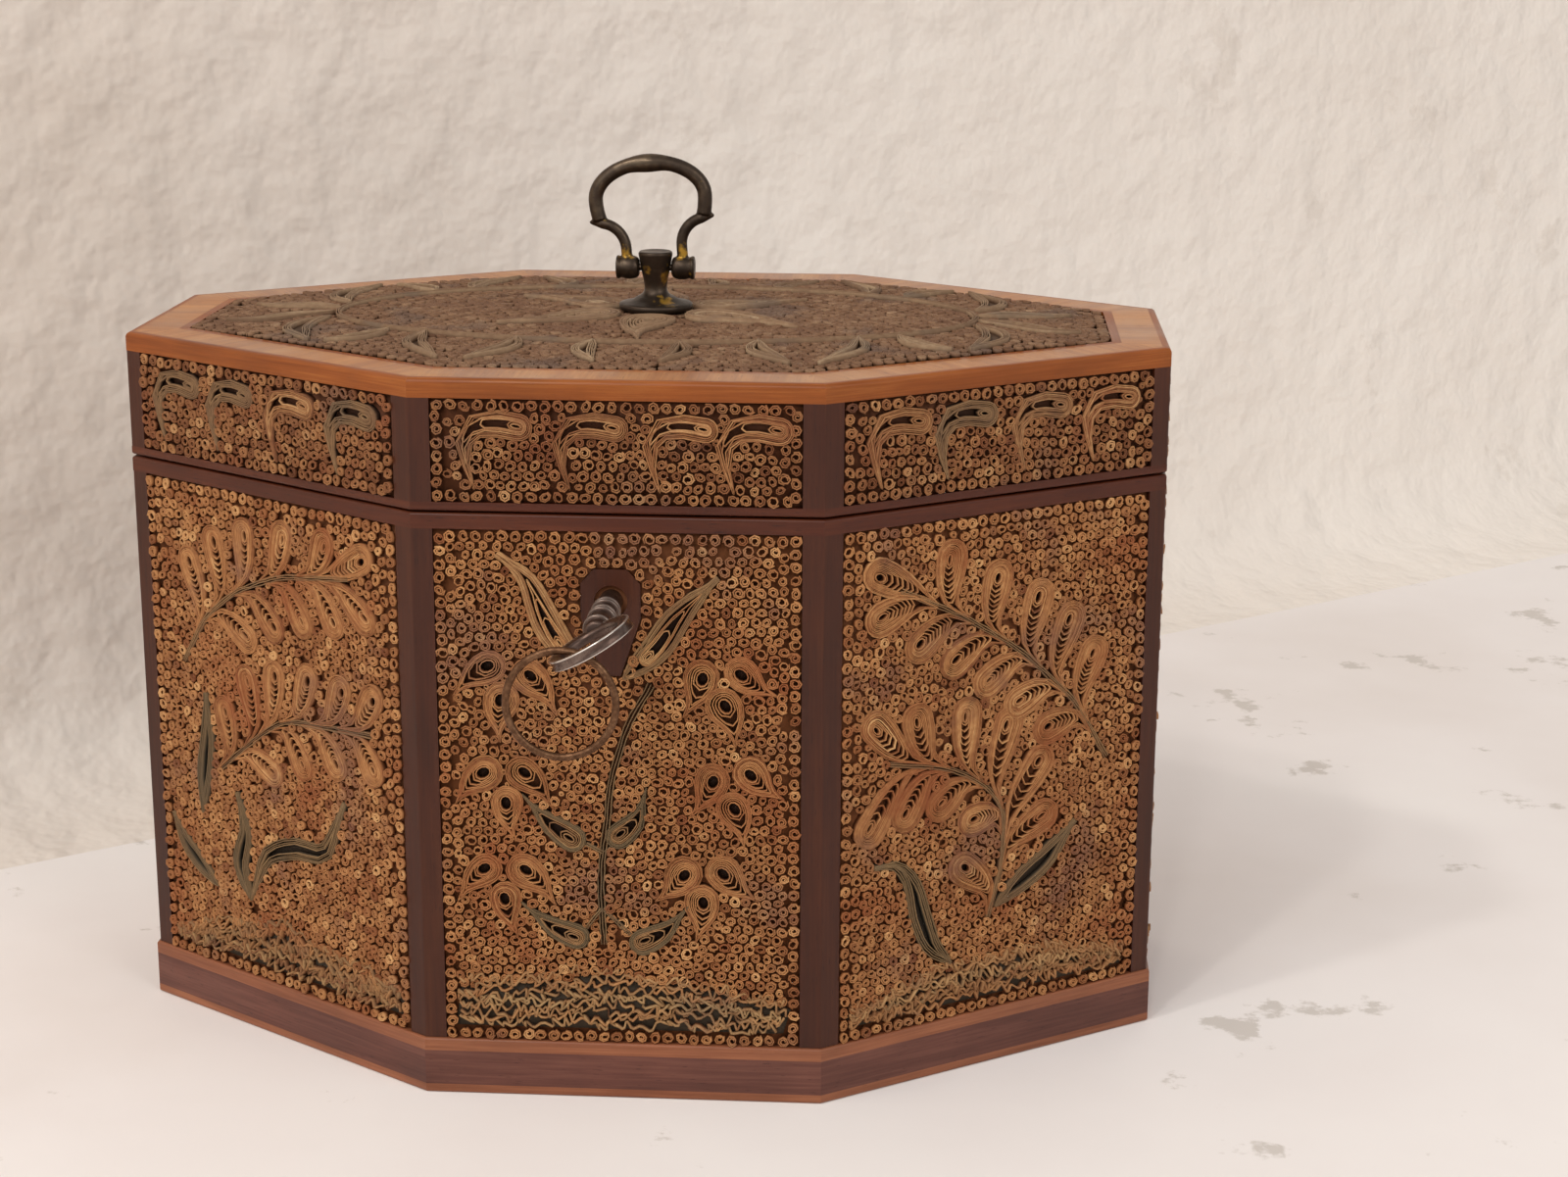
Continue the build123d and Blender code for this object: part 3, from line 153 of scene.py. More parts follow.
def wood(name, grain, colours, pore_colour, pores, roughness, coat, fibre_mm):
    """A wood whose grain runs along the side, in across it, or up.

    The broad figure is 60 mm long and 5 mm wide. The pores are drawn 0.2 mm wide, coarser than real
    ones, so that they show.
    """
    material, tree, shader = new_material(name)
    along, inwards, up = side_position(tree)
    runs = {"along": (along, inwards, up), "in": (inwards, along, up), "up": (up, along, inwards)}[grain]
    grain_place = add_node(tree, "ShaderNodeCombineXYZ", enumerate(runs)).outputs[0]

    def streaks(length_mm, width_mm, detail, seed):
        scaled = add_node(tree, "ShaderNodeMapping", {
            "Vector": grain_place,
            "Location": (seed, seed * 0.7, seed * 1.3),
            "Scale": (1 / length_mm, 1 / width_mm, 1 / width_mm),
        }).outputs[0]
        return add_node(tree, "ShaderNodeTexNoise", {
            "Vector": scaled, "Scale": 1.0, "Detail": detail, "Roughness": 0.6,
        }).outputs["Fac"]

    figure = streaks(60.0, 5.0, 3.0, 3.1)
    fibre = streaks(14.0, fibre_mm, 4.0, 11.7)
    pits = streaks(2.6, 0.22, 1.0, 23.9)
    mixed = add_node(tree, "ShaderNodeMix", {0: 0.45, 2: figure, 3: fibre}).outputs[0]
    body = add_node(tree, "ShaderNodeValToRGB", {0: mixed}, stops=[
        (0.34, colours[0]), (0.66, colours[2]), (0.5, colours[1]),
    ]).outputs[0]
    pit = add_node(tree, "ShaderNodeMapRange", {0: pits, 1: 0.66, 2: 0.74, 3: 0.0, 4: pores}).outputs[0]
    colour = add_node(tree, "ShaderNodeMix", {0: pit, 6: body, 7: pore_colour}, data_type="RGBA").outputs[2]
    blotch = add_node(tree, "ShaderNodeTexNoise", {
        "Vector": add_node(tree, "ShaderNodeTexCoord").outputs["Object"],
        "Scale": 1 / (polish_patch_mm * MM), "Detail": 4.0,
    }).outputs["Fac"]
    rough = add_node(tree, "ShaderNodeMapRange", {
        0: blotch, 1: 0.35, 2: 0.7, 3: roughness - 0.06, 4: roughness + 0.1,
    }).outputs[0]
    shade = add_node(tree, "ShaderNodeMapRange", {0: blotch, 1: 0.3, 2: 0.7, 3: 0.84, 4: 1.1}).outputs[0]
    toned = add_node(tree, "ShaderNodeVectorMath", {0: colour, 3: shade}, operation="SCALE").outputs[0]
    tree.links.new(toned, shader.inputs["Base Color"])
    tree.links.new(rough, shader.inputs["Roughness"])
    bump = add_node(tree, "ShaderNodeBump", {"Height": pit, "Strength": 0.25, "Distance": 0.08 * MM},
                    invert=True)
    fine = add_node(tree, "ShaderNodeBump", {
        "Height": fibre, "Strength": 0.2, "Distance": 0.06 * MM, "Normal": bump.outputs[0],
    })
    tree.links.new(fine.outputs[0], shader.inputs["Normal"])
    shader.inputs["Coat Weight"].default_value = coat
    shader.inputs["Coat Roughness"].default_value = 0.25
    shader.inputs["Specular IOR Level"].default_value = 0.25
    shader.inputs["IOR"].default_value = 1.5
    return material


# Bare planed pine: straight pale grain gone brown with age, matt, without any polish.
pine = wood("aged_pine", "along", ("#8f6a44", "#a67f55", "#b9936a"), "#6d4d30", 0.5, 0.7, 0.0, 0.8)
dress(pine, "bottom_board", "case_front_board", "case_back_board", "case_side_boards",
      "lid_wall_boards", "lid_top_board")

# Mahogany posts, rails, plinth band, keyhole surround and crossbanding.
# Saw-cut veneers about 3 mm thick, glued to the pine and wax polished. The crossbanding's grain runs
# across the band, the posts' grain runs up, the rails' grain runs along.

# Old waxed mahogany: deep red brown with fine dark pores and a soft sheen.
post_tones = ("#37190d", "#411e0f", "#4c2613")
rail_tones = ("#40190c", "#4b200e", "#592a15")
mahogany_up = wood("mahogany_posts", "up", post_tones, "#260e08", 0.8, 0.4, 0.08, 0.5)
mahogany_along = wood("mahogany_rails", "along", rail_tones, "#2c1109", 0.8, 0.38, 0.1, 0.5)
# The plinth's mahogany is rubbed dull and greyer where the box is stood down and lifted.
plinth_tones = ("#4f2d25", "#5f382e", "#70463a")
mahogany_worn = wood("mahogany_plinth", "along", plinth_tones, "#351a13", 0.8, 0.45, 0.12, 0.5)
# The crossbanding is bleached by daylight to an orange brown, with the most polish left on it.
crossband_tones = ("#8c5124", "#a56931", "#b87e44")
mahogany_across = wood("mahogany_crossbanding", "in", crossband_tones, "#4d2814", 0.7, 0.34, 0.25, 0.5)
dress(mahogany_up, "case_corner_posts", "lid_corner_posts", "keyhole_surround")
dress(mahogany_along, "case_top_rail", "lid_bottom_rail")
dress(mahogany_worn, "plinth_band")
dress(mahogany_across, "lid_crossbanding")

# Boxwood lines.
# Thin square strings of boxwood at the lid's edge, round its top panel and on the plinth, let in
# flush. Boxwood is dense and even, honey coloured under old polish.

# Polished boxwood: an even warm orange without pores to speak of.
box_tones = ("#74380d", "#884717", "#9d5c27")
boxwood_line = wood("boxwood_lid_lines", "along", box_tones, "#6e3a17", 0.3, 0.36, 0.08, 0.4)
# The plinth's lines have lost their polish and taken dirt: browner and duller.
worn_tones = ("#74422a", "#885237", "#9a6142")
boxwood_worn = wood("boxwood_plinth_lines", "along", worn_tones, "#6b3a20", 0.3, 0.45, 0.15, 0.4)
dress(boxwood_line, "lid_edge_line", "lid_inner_line")
dress(boxwood_worn, "plinth_upper_line", "plinth_lower_line")

# Rolled paper panels.
# Strips of paper about 3 mm wide, rolled up and glued on edge to a dark card, between the posts.
# Small round rolls fill the ground in neat rows along the borders; long strips wound loosely and
# pinched make the leaves and flowers, flat strips the stalks, and crimped strips the earth.

card_thickness_mm = 2.1
strip_width_mm = 3.3
facing_mm = 3.0  # from the card's back out to the wood's face
border_pitch_mm = 2.15
roll_radius_mm = (0.86, 1.13)
# The strips are drawn thicker than real paper, which is about 0.1 mm, so that their edges show
flat_half_wall_mm = 0.09
crimp_half_wall_mm = 0.16
random = np.random.default_rng(1790)


def strip(path, half_wall, crest, closed=False):
    """A paper strip that stands on edge along a flat path, as points and quads. Its foot is in the card."""
    path = np.asarray(path, float)
    count = len(path)
    ahead = np.roll(path, -1, axis=0) - path
    if not closed:
        ahead[-1] = ahead[-2]
    ahead /= np.linalg.norm(ahead, axis=1, keepdims=True) + 1e-9
    behind = np.roll(ahead, 1, axis=0)
    if not closed:
        behind[0] = ahead[0]
    middle = ahead + behind
    stretch = np.maximum(np.linalg.norm(middle, axis=1, keepdims=True), 0.9)
    side = np.stack((-middle[:, 1], middle[:, 0]), axis=1) * 2 / stretch ** 2 * half_wall
    crests = np.broadcast_to(np.asarray(crest, float), (count,))
    feet = np.full(count, card_thickness_mm - 0.1)
    points = np.concatenate([
        np.column_stack((path + side, crests)),
        np.column_stack((path - side, crests)),
        np.column_stack((path + side, feet)),
        np.column_stack((path - side, feet)),
    ])
    here = np.arange(count if closed else count - 1)
    there = (here + 1) % count
    left, right, left_foot, right_foot = 0, count, 2 * count, 3 * count
    quads = [
        (left + here, right + here, right + there, left + there),
        (left + here, left + there, left_foot + there, left_foot + here),
        (right + there, right + here, right_foot + here, right_foot + there),
        (left_foot + there, right_foot + there, right_foot + here, left_foot + here),
    ]
    quads = np.concatenate([np.stack(q, axis=1) for q in quads])
    if not closed:
        last = count - 1
        ends = [
            (left, left_foot, right_foot, right),
            (right + last, right_foot + last, left_foot + last, left + last),
        ]
        quads = np.concatenate([quads, np.array(ends)])
    return points, quads


def new_sheet():
    """An empty panel: its strips, and the outlines that the small rolls keep out of."""
    return {"points": [], "quads": [], "tints": [], "count": 0, "outlines": []}


def lay(sheet, points, quads, tone, green=0.0, light=1.0):
    """Adds strips to a panel. The tint holds tone, greenness, height, and how light their sides are: below 1
    the sides take painted shade, the hollow colour.
    """
    tints = np.full((len(points), 4), light, np.float32)
    tints[:, 0] = tone
    tints[:, 1] = green
    tints[:, 2] = np.clip((points[:, 2] - card_thickness_mm) / (strip_width_mm - card_thickness_mm), 0, 1)
    sheet["points"].append(points)
    sheet["quads"].append(quads + sheet["count"])
    sheet["tints"].append(tints)
    sheet["count"] += len(points)


def toned(tone, spread=0.1):
    return float(np.clip(tone + random.normal(0, spread), 0, 1))


def smooth_axis(points, rounding=6):
    """A smooth line through a few points: the length at each step, the places and the headings."""
    points = np.asarray(points, float)
    steps = np.concatenate([[0], np.cumsum(np.linalg.norm(np.diff(points, axis=0), axis=1))])
    fine = np.linspace(0, steps[-1], max(6, int(steps[-1] / 0.8)))
    places = np.stack([np.interp(fine, steps, points[:, k]) for k in (0, 1)], axis=1)
    for _ in range(rounding):
        places[1:-1] = (places[:-2] + 2 * places[1:-1] + places[2:]) / 4
    lengths = np.concatenate([[0], np.cumsum(np.linalg.norm(np.diff(places, axis=0), axis=1))])
    headings = np.gradient(places, axis=0)
    headings /= np.linalg.norm(headings, axis=1, keepdims=True)
    return lengths, places, headings


def beside(axis, along, sideways):
    """Points so far along an axis and to its left. Past its ends it runs straight on."""
    lengths, places, headings = axis
    along = np.asarray(along, float)
    sideways = np.broadcast_to(np.asarray(sideways, float), along.shape)
    place = np.stack([np.interp(along, lengths, places[:, k]) for k in (0, 1)], axis=1)
    heading = np.stack([np.interp(along, lengths, headings[:, k]) for k in (0, 1)], axis=1)
    heading /= np.linalg.norm(heading, axis=1, keepdims=True)
    past = np.minimum(along, 0) + np.maximum(along - lengths[-1], 0)
    left = np.stack((-heading[:, 1], heading[:, 0]), axis=1)
    return place + heading * past[:, None] + left * sideways[:, None]


def drop_width(along, radius, length, taper):
    """Half the width of a teardrop with a round head and a tail drawn out to nothing."""
    tail = 0.5 + 0.5 * np.cos(math.pi * np.clip(along / length, 0, 1) ** taper)
    head = np.sqrt(np.clip(1 - (np.minimum(along, 0) / radius) ** 2, 0, 1))
    return radius * tail * head


def turn_path(radius, length, taper, inset, bottom):
    """One turn of a coil: round the head, down both flanks, and across in a short bow at bottom."""
    round_head = np.linspace(math.pi / 2, 3 * math.pi / 2, 8)
    head = np.stack((np.cos(round_head), np.sin(round_head)), axis=1) * (radius - inset)
    along = np.linspace(0, 1, 6)[1:] * (bottom - 0.3)
    half = np.maximum(drop_width(along, radius, length, taper) - inset, 0.07)
    dip = 0.1 + 0.3 * half[-1]
    bow = np.array([(bottom, -0.6 * half[-1]), (bottom + dip, 0.0), (bottom, 0.6 * half[-1])])
    left = np.stack((along, -half), axis=1)
    return np.concatenate([head, left, bow, left[::-1] * (1.0, -1.0)])


def coil(sheet, axis, radius, bands, crescents, hole, hole_end, taper=1.2, lean=0.0, tone=0.45,
         inner_tone=0.7, green=0.0, core_green=None, outline=True, pitch=0.2, reach=0.6, half_wall=0.075,
         lift=0.1, depth=0.6):
    """A strip wound into a teardrop: tight outer turns, then turns whose far ends fall back from the tail.

    The crescents between those ends look down to the card, where painted shade is laid, and the hole at
    the head is painted darkest, with the hollow colour. The turns' sides take painted shade by depth. The
    axis runs from the middle of the head to the tail's tip, and lengths are in millimetres.
    """
    length = axis[0][-1]
    core_green = green if core_green is None else core_green
    band = bands * pitch
    spread = (radius - band - hole) / crescents

    def turn(inset, bottom, shift, tone_here, green_here, lift_here):
        local = turn_path(radius, length, taper, inset, bottom)
        local = local + random.normal(0, 0.025, local.shape)
        sideways = local[:, 1] + shift * np.clip(1 - local[:, 0] / length, 0, 1)
        path_here = beside(axis, local[:, 0], sideways)
        points, quads = strip(path_here, half_wall, strip_width_mm + lift_here, closed=True)
        # Painted shade: the turns' sides take the hollow colour by depth.
        lay(sheet, points, quads, toned(tone_here, 0.13), green_here, 1 - depth)
        return path_here

    for layer in range(bands):
        outer = turn(layer * pitch, length - layer * 0.5, 0.0, tone, green, lift + random.normal(0, 0.06))
        if layer == 0 and outline:
            sheet["outlines"].append(outer)
    for number, end in enumerate(np.linspace(length * reach, hole_end, crescents)):
        share = (number + 1) / crescents
        turn(band + number * spread, end, lean * share, inner_tone, core_green,
             lift - 0.1 * share + random.normal(0, 0.06))
    ring = np.linspace(0, 2 * math.pi, 10, endpoint=False)
    long = hole + max(hole_end - hole, 0) * 0.4
    local = np.stack((np.cos(ring) * long + long - hole, np.sin(ring) * hole), axis=1)
    eye = beside(axis, local[:, 0], local[:, 1] + lean)
    points, quads = strip(eye, half_wall, strip_width_mm + lift, closed=True)
    # Painted shade on the eye's sides: more than half the hollow colour.
    lay(sheet, points, quads, toned(inner_tone, 0.08), core_green, 0.4)
    # Painted shade over the card inside the coil, darker by depth.
    along = np.linspace(-0.8 * (radius - band), length * 0.8, 9)
    half = np.maximum(drop_width(along, radius, length, taper) - band * 0.5, 0.05)
    paint_shade(sheet, beside(axis, along, 0.0), half, core_green * 0.6, (1 - depth) * 0.8)
    # Painted shade in the hole at the head: the hollow colour itself.
    along = np.linspace(-hole, 2 * long - hole, 7)
    half = np.array([0.3, 0.8, 1.0, 1.0, 1.0, 0.8, 0.3]) * hole
    paint_shade(sheet, beside(axis, along, lean), half, 0.0, 0.0, 0.1)


def paint_shade(sheet, path, half, green, light, above_card=0.05):
    """Painted shade: a dark slab laid just over the card under an opening, down a path of changing half
    width.
    """
    points, quads = strip(path, np.asarray(half)[:, None], card_thickness_mm + above_card)
    lay(sheet, points, quads, 0.0, green, light)
    sheet["tints"][-1][:, 2] = min(above_card, 0.7)


def stalk_strips(sheet, axis, strips, tone=0.5, green=0.5, pitch=0.36, lift=0.12, outline=True):
    """Some flat strips side by side along a curved line."""
    along = np.linspace(0.0, axis[0][-1], max(4, int(axis[0][-1] / 1.4)))
    for number in range(strips):
        offset = (number - (strips - 1) / 2) * pitch
        path = beside(axis, along, offset + random.normal(0, 0.05, len(along)))
        points, quads = strip(path, flat_half_wall_mm, strip_width_mm + lift + random.normal(0, 0.08))
        lay(sheet, points, quads, toned(tone, 0.18), green)
    if outline:
        half = (strips - 1) / 2 * pitch + 0.05
        sheet["outlines"].append(np.concatenate([
            beside(axis, along, half), beside(axis, along, -half)[::-1],
        ]))


def leaf_blade(sheet, points, width, peak=0.35, layers=3, gap=0.42, tone=0.55, green=0.6, loops=True,
               lift=0.12, shallow=0.05):
    """A leaf from root to tip: strips drawn out to a thin tip, with loops inside or a gap down the middle.

    The peak is where it is widest, and shallow is how far the gap's floor, a painted shade, stands above the
    card.
    """
    axis = smooth_axis(points, 8)
    length = axis[0][-1]
    power = math.log(0.5) / math.log(peak)
    share = np.linspace(0, 1, 15)
    swell = np.sin(math.pi * share ** power) ** 0.9
    for layer in range(layers):
        half = np.maximum(width / 2 * swell - layer * gap, (layers - layer) * 0.09)
        half[0] *= 0.5
        path = np.concatenate([
            beside(axis, share * length, half), beside(axis, share[::-1] * length, -half[::-1]),
        ])
        path = path + random.normal(0, 0.04, path.shape)
        crest = strip_width_mm + lift + random.normal(0, 0.05)
        strip_points, quads = strip(path, flat_half_wall_mm, crest, closed=True)
        lay(sheet, strip_points, quads, toned(tone, 0.16), green)
        if layer == 0:
            sheet["outlines"].append(path)
    if loops:
        first, last = peak * 0.55 * length, min(peak * 2.1, 0.85) * length
        inner = smooth_axis(beside(axis, np.linspace(first, last, 6), 0.0), 1)
        # Painted shade under the loops, close to the hollow colour.
        half = np.maximum(width / 2 * swell - 0.3, 0.1)
        paint_shade(sheet, beside(axis, share * length, 0.0), half, green, 0.1, 0.02)
        coil(sheet, inner, max(width / 2 - layers * gap, 0.6) * 0.85, 1, 3, 0.26, 1.4, taper=1.5, tone=0.75,
             inner_tone=0.8, green=green * 0.3, outline=False, reach=0.7, depth=1.0)
    else:
        # Painted shade down the gap in the middle, half the hollow colour.
        span = np.linspace(0.08, 0.86, 9)
        half = np.interp(span, share, np.maximum(width / 2 * swell - 0.3, 0.1))
        paint_shade(sheet, beside(axis, span * length, 0.0), half, green, 0.5, shallow)


def crimped(sheet, width, heights):
    """The earth: strips crimped into uneven folds, row on row up to a line through the heights."""
    foot_mm, rows = 2.2, 9
    reach = width / 2 - border_pitch_mm
    top_x = np.linspace(-reach, reach, len(heights))
    for row in range(rows + 1):
        share = (row + 0.3) / rows
        x, way, folds = -reach, 1, []
        lean = random.normal(0, 0.35)
        bend = random.uniform(0, 2 * math.pi, 2)
        while x < reach:
            level = foot_mm + 0.9 + (np.interp(x, top_x, heights) - foot_mm - 1.6) * share
            level += 0.5 * math.sin(x / 3.1 + bend[0]) + 0.3 * math.sin(x / 1.3 + bend[1])
            swing = random.choice((0.3, 0.7, 1.0, 1.4)) * random.uniform(0.8, 1.2)
            folds.append((x + way * lean + random.normal(0, 0.3), level + way * swing))
            x += random.choice((0.5, 0.7, 1.0, 1.7)) * random.uniform(0.8, 1.2)
            way = -way
        folds = np.array(folds)
        rounded = np.empty((2 * len(folds) - 2, 2))
        rounded[0::2] = folds[:-1] * 0.8 + folds[1:] * 0.2
        rounded[1::2] = folds[:-1] * 0.2 + folds[1:] * 0.8
        rounded[:, 0] = np.clip(rounded[:, 0], -reach, reach)
        rounded[:, 1] = np.maximum(rounded[:, 1], foot_mm + 0.15)
        crest = strip_width_mm + 0.1 + np.repeat(random.normal(0, 0.22, len(folds) - 1), 2)
        points, quads = strip(rounded, crimp_half_wall_mm, crest)
        # The folds' sides take some of the hollow colour: painted shade.
        lay(sheet, points, quads, toned(0.66, 0.14), float(random.uniform(0.25, 0.75)), 0.6)
    # Painted shade between the folds: a dark green-grey slab over the card, a little of the hollow colour.
    along = np.linspace(-reach, reach, 25)
    upper = np.interp(along, top_x, heights) - 1.4 + random.normal(0, 0.5, 25)
    middle = np.stack((along, (upper + foot_mm) / 2), axis=1)
    paint_shade(sheet, middle, (upper - foot_mm) / 2, 0.9, 0.9, 0.3)
    sheet["outlines"].append(np.concatenate([
        [(-reach, foot_mm + 0.1), (reach, foot_mm + 0.1)], np.stack((along, upper), axis=1)[::-1],
    ]))


def spray(sheet, stalk, heads, radius, lag=8.0):
    """A stalk from its root, with coiled leaflets whose tails bend into it and run on beside it."""
    axis = smooth_axis(stalk, 10)
    lengths, places, headings = axis
    for head in heads:
        head = np.array(head, float)
        nearest = int(np.argmin(np.linalg.norm(places - head, axis=1)))
        side = np.sign(headings[nearest, 0] * (head - places[nearest])[1]
                       - headings[nearest, 1] * (head - places[nearest])[0])
        at = lengths[nearest]
        gap = np.linalg.norm(head - places[nearest])
        join, tail = beside(axis, [at - lag * 0.45, at - lag], side * np.array([1.0, 0.3]))
        towards = head + (join - head) * 0.55 + (places[nearest] - head) * 0.12
        bend = smooth_axis([head, towards, join, tail], 5)
        eye = float(random.uniform(1.3, 2.0))
        coil(sheet, bend, radius * (1 if gap > radius else 0.8), int(random.integers(3, 6)),
             int(random.integers(6, 9)), float(random.uniform(0.4, 0.8)), eye, taper=1.3,
             lean=float(random.uniform(0.1, 0.5)) * side, tone=toned(0.42, 0.06), inner_tone=0.6,
             reach=float(random.uniform(0.55, 0.68)))
    stalk_strips(sheet, axis, 3, tone=0.4, green=0.7)


def trefoils(sheet, flowers):
    """Flowers of three wide coils, each with a round hole and crescent gaps towards its tail."""
    for number, (head, tail) in enumerate(flowers):
        head, tail = np.array(head), np.array(tail)
        lean = 0.2 if number % 2 else -0.2
        across = np.array((-(tail - head)[1], (tail - head)[0]))
        bend = smooth_axis([head, (head + tail) / 2 + across * 0.5 * lean, tail + (tail - head) * 0.12], 3)
        radius = random.uniform(2.6, 3.0)
        bands, crescents = int(random.integers(3, 5)), int(random.integers(3, 5))
        coil(sheet, bend, radius, bands, crescents, 1.0, 1.8, taper=1.15, lean=lean, tone=0.4,
             inner_tone=0.55, pitch=0.22, reach=0.66, half_wall=0.085, depth=0.8)


def drop_leaf(sheet, points, radius):
    """A leaf coiled at its root with its point drawn out, green outside and gold within."""
    coil(sheet, smooth_axis(points, 4), radius, 4, 3, 0.5, 1.8, taper=1.2, lean=0.2, tone=0.25,
         inner_tone=0.55, green=1.0, core_green=0.6, reach=0.6, depth=1.0)


def front_figures(sheet, width):
    """Six trefoils on a green stem, with two pointed leaves by the keyhole and four drop leaves.

    Places are millimetres from the panel's middle and up from its foot.
    """
    trefoils(sheet, [
        ((-21.0, 65.5), (-26.4, 61.0)), ((-14.7, 64.1), (-10.6, 58.2)), ((-19.1, 60.0), (-19.5, 53.6)),
        ((13.6, 64.5), (10.9, 58.4)), ((19.9, 65.3), (25.3, 61.8)), ((17.1, 59.8), (18.9, 53.4)),
        ((-22.1, 47.3), (-26.6, 42.4)), ((-16.0, 47.5), (-11.6, 42.2)), ((-18.6, 42.4), (-17.5, 36.4)),
        ((15.3, 47.0), (12.2, 41.4)), ((21.5, 48.3), (26.3, 44.4)), ((18.6, 42.2), (20.3, 36.2)),
        ((-22.3, 30.6), (-26.6, 25.4)), ((-16.1, 30.5), (-11.4, 25.2)), ((-19.2, 25.6), (-17.5, 19.6)),
        ((10.6, 30.6), (6.4, 26.2)), ((17.0, 31.0), (22.2, 26.6)), ((13.5, 25.8), (12.6, 19.4)),
    ])
    leaf_blade(sheet, [(-6.5, 66.1), (-10.6, 71.0), (-13.0, 76.6), (-14.4, 80.6), (-19.4, 84.4)], 4.8,
               peak=0.34, layers=6, gap=0.19, green=0.4)
    leaf_blade(sheet, [(0.9, 64.0), (6.4, 69.0), (9.8, 74.6), (16.2, 81.0)], 4.8,
               peak=0.4, layers=5, gap=0.2, green=0.75)
    for radius, points in (
        (2.3, [(-7.9, 36.2), (-11.7, 38.8), (-16.0, 43.6)]), (2.1, [(-0.2, 36.8), (3.0, 39.6), (4.4, 45.2)]),
        (2.1, [(-7.4, 18.9), (-11.4, 20.4), (-16.6, 24.8)]), (2.2, [(3.6, 18.2), (7.4, 20.0), (11.2, 24.8)]),
    ):
        drop_leaf(sheet, points, radius)
    stem = [(-2.8, 17.7), (-3.3, 26.8), (-3.1, 32.2), (-2.1, 39.0), (-1.4, 46.6), (1.4, 56.0), (5.4, 63.0)]
    stalk_strips(sheet, smooth_axis(stem), 3, tone=0.3, green=0.9, pitch=0.5)
    for root, bud in (((-3.2, 24.0), (-5.8, 20.6)), ((-3.0, 24.0), (1.6, 19.6)),
                      ((-2.9, 34.0), (-5.6, 35.4)), ((-2.6, 34.0), (-0.8, 35.2))):
        stalk_strips(sheet, smooth_axis([root, bud], 1), 2, tone=0.3, green=0.9, outline=False)
    crimped(sheet, width, [10.4, 12.4, 13.3, 11.0, 8.6])


def arching_figures(sheet, width, radius, fronds, leaves, earth):
    """Two arching fronds over long green leaves. Places are millimetres from the panel's left edge.

    A frond is its stalk and the heads of its leaflets. A leaf is its points from root to tip, then its
    width, peak, layers, gap, tone and green.
    """
    def centred(points):
        return [(x - width / 2, y) for x, y in points]

    for stalk, heads in fronds:
        spray(sheet, centred(stalk), centred(heads), radius)
    for points, *shape in leaves:
        leaf_blade(sheet, centred(points), *shape, loops=False)
    crimped(sheet, width, earth)


def right_figures(sheet, width):
    arching_figures(sheet, width, 2.95, [
        ([(54.0, 42.1), (46.7, 53.5), (35.4, 63.8), (23.8, 71.3), (11.1, 77.4)], [
            (20.9, 82.0), (30.4, 77.4), (38.9, 73.1), (45.6, 68.2), (50.6, 61.5),
            (6.8, 80.6), (7.2, 73.0), (15.0, 67.4), (21.9, 63.7), (28.6, 59.3), (35.0, 54.6), (41.2, 49.2),
        ]),
        ([(29.8, 17.0), (32.6, 26.7), (32.7, 36.2), (28.3, 41.7), (20.6, 45.7), (9.4, 48.0)], [
            (6.6, 54.8), (14.6, 54.9), (24.6, 54.4), (33.2, 51.4), (39.9, 43.6), (41.1, 33.6),
            (5.6, 36.8), (12.6, 38.4), (19.6, 39.0), (26.2, 35.2), (24.4, 27.0),
        ]),
    ], [
        ([(31.3, 18.8), (37.0, 22.6), (41.8, 25.4), (47.6, 31.5)], 4.4, 0.45, 4, 0.36, 0.4, 0.9),
        ([(22.2, 10.3), (18.3, 13.6), (15.7, 20.2), (14.4, 26.2), (11.2, 30.4), (6.7, 30.2)],
         4.0, 0.4, 4, 0.4, 0.45, 0.95),
    ], [5.6, 9.4, 10.6, 9.2, 6.4])


def left_figures(sheet, width):
    arching_figures(sheet, width, 2.6, [
        ([(8.0, 55.8), (14.2, 64.9), (22.7, 71.0), (34.1, 75.2), (50.4, 77.4)], [
            (10.4, 74.4), (17.0, 79.0), (24.8, 81.4), (34.5, 82.4), (44.6, 82.6), (53.6, 81.4),
            (24.6, 62.6), (31.6, 65.6), (38.8, 67.6), (46.4, 69.0), (54.0, 70.8),
        ]),
        ([(16.5, 37.8), (27.5, 46.2), (33.4, 49.7), (45.3, 50.7), (54.6, 51.2)], [
            (17.8, 48.6), (23.9, 55.4), (31.1, 57.5), (39.3, 58.3), (47.4, 57.8), (55.0, 57.6),
            (29.8, 39.4), (37.4, 42.2), (45.8, 44.0), (54.6, 44.8),
        ]),
    ], [
        ([(10.9, 28.3), (11.6, 35.0), (13.2, 43.0), (13.1, 50.7)], 3.6, 0.45, 4, 0.36, 0.4, 0.95),
        ([(13.9, 15.0), (9.6, 18.0), (5.4, 21.4), (2.8, 26.5)], 3.2, 0.45, 3, 0.42, 0.4, 0.9),
        ([(22.6, 14.4), (19.6, 20.6), (22.4, 27.0), (20.1, 33.8)], 3.6, 0.4, 4, 0.36, 0.4, 0.95),
        ([(22.6, 14.4), (27.0, 24.0), (34.6, 27.0), (42.1, 26.8), (47.3, 37.7)],
         3.8, 0.5, 4, 0.36, 0.45, 0.9),
    ], [5.2, 9.8, 12.0, 9.6, 7.4])


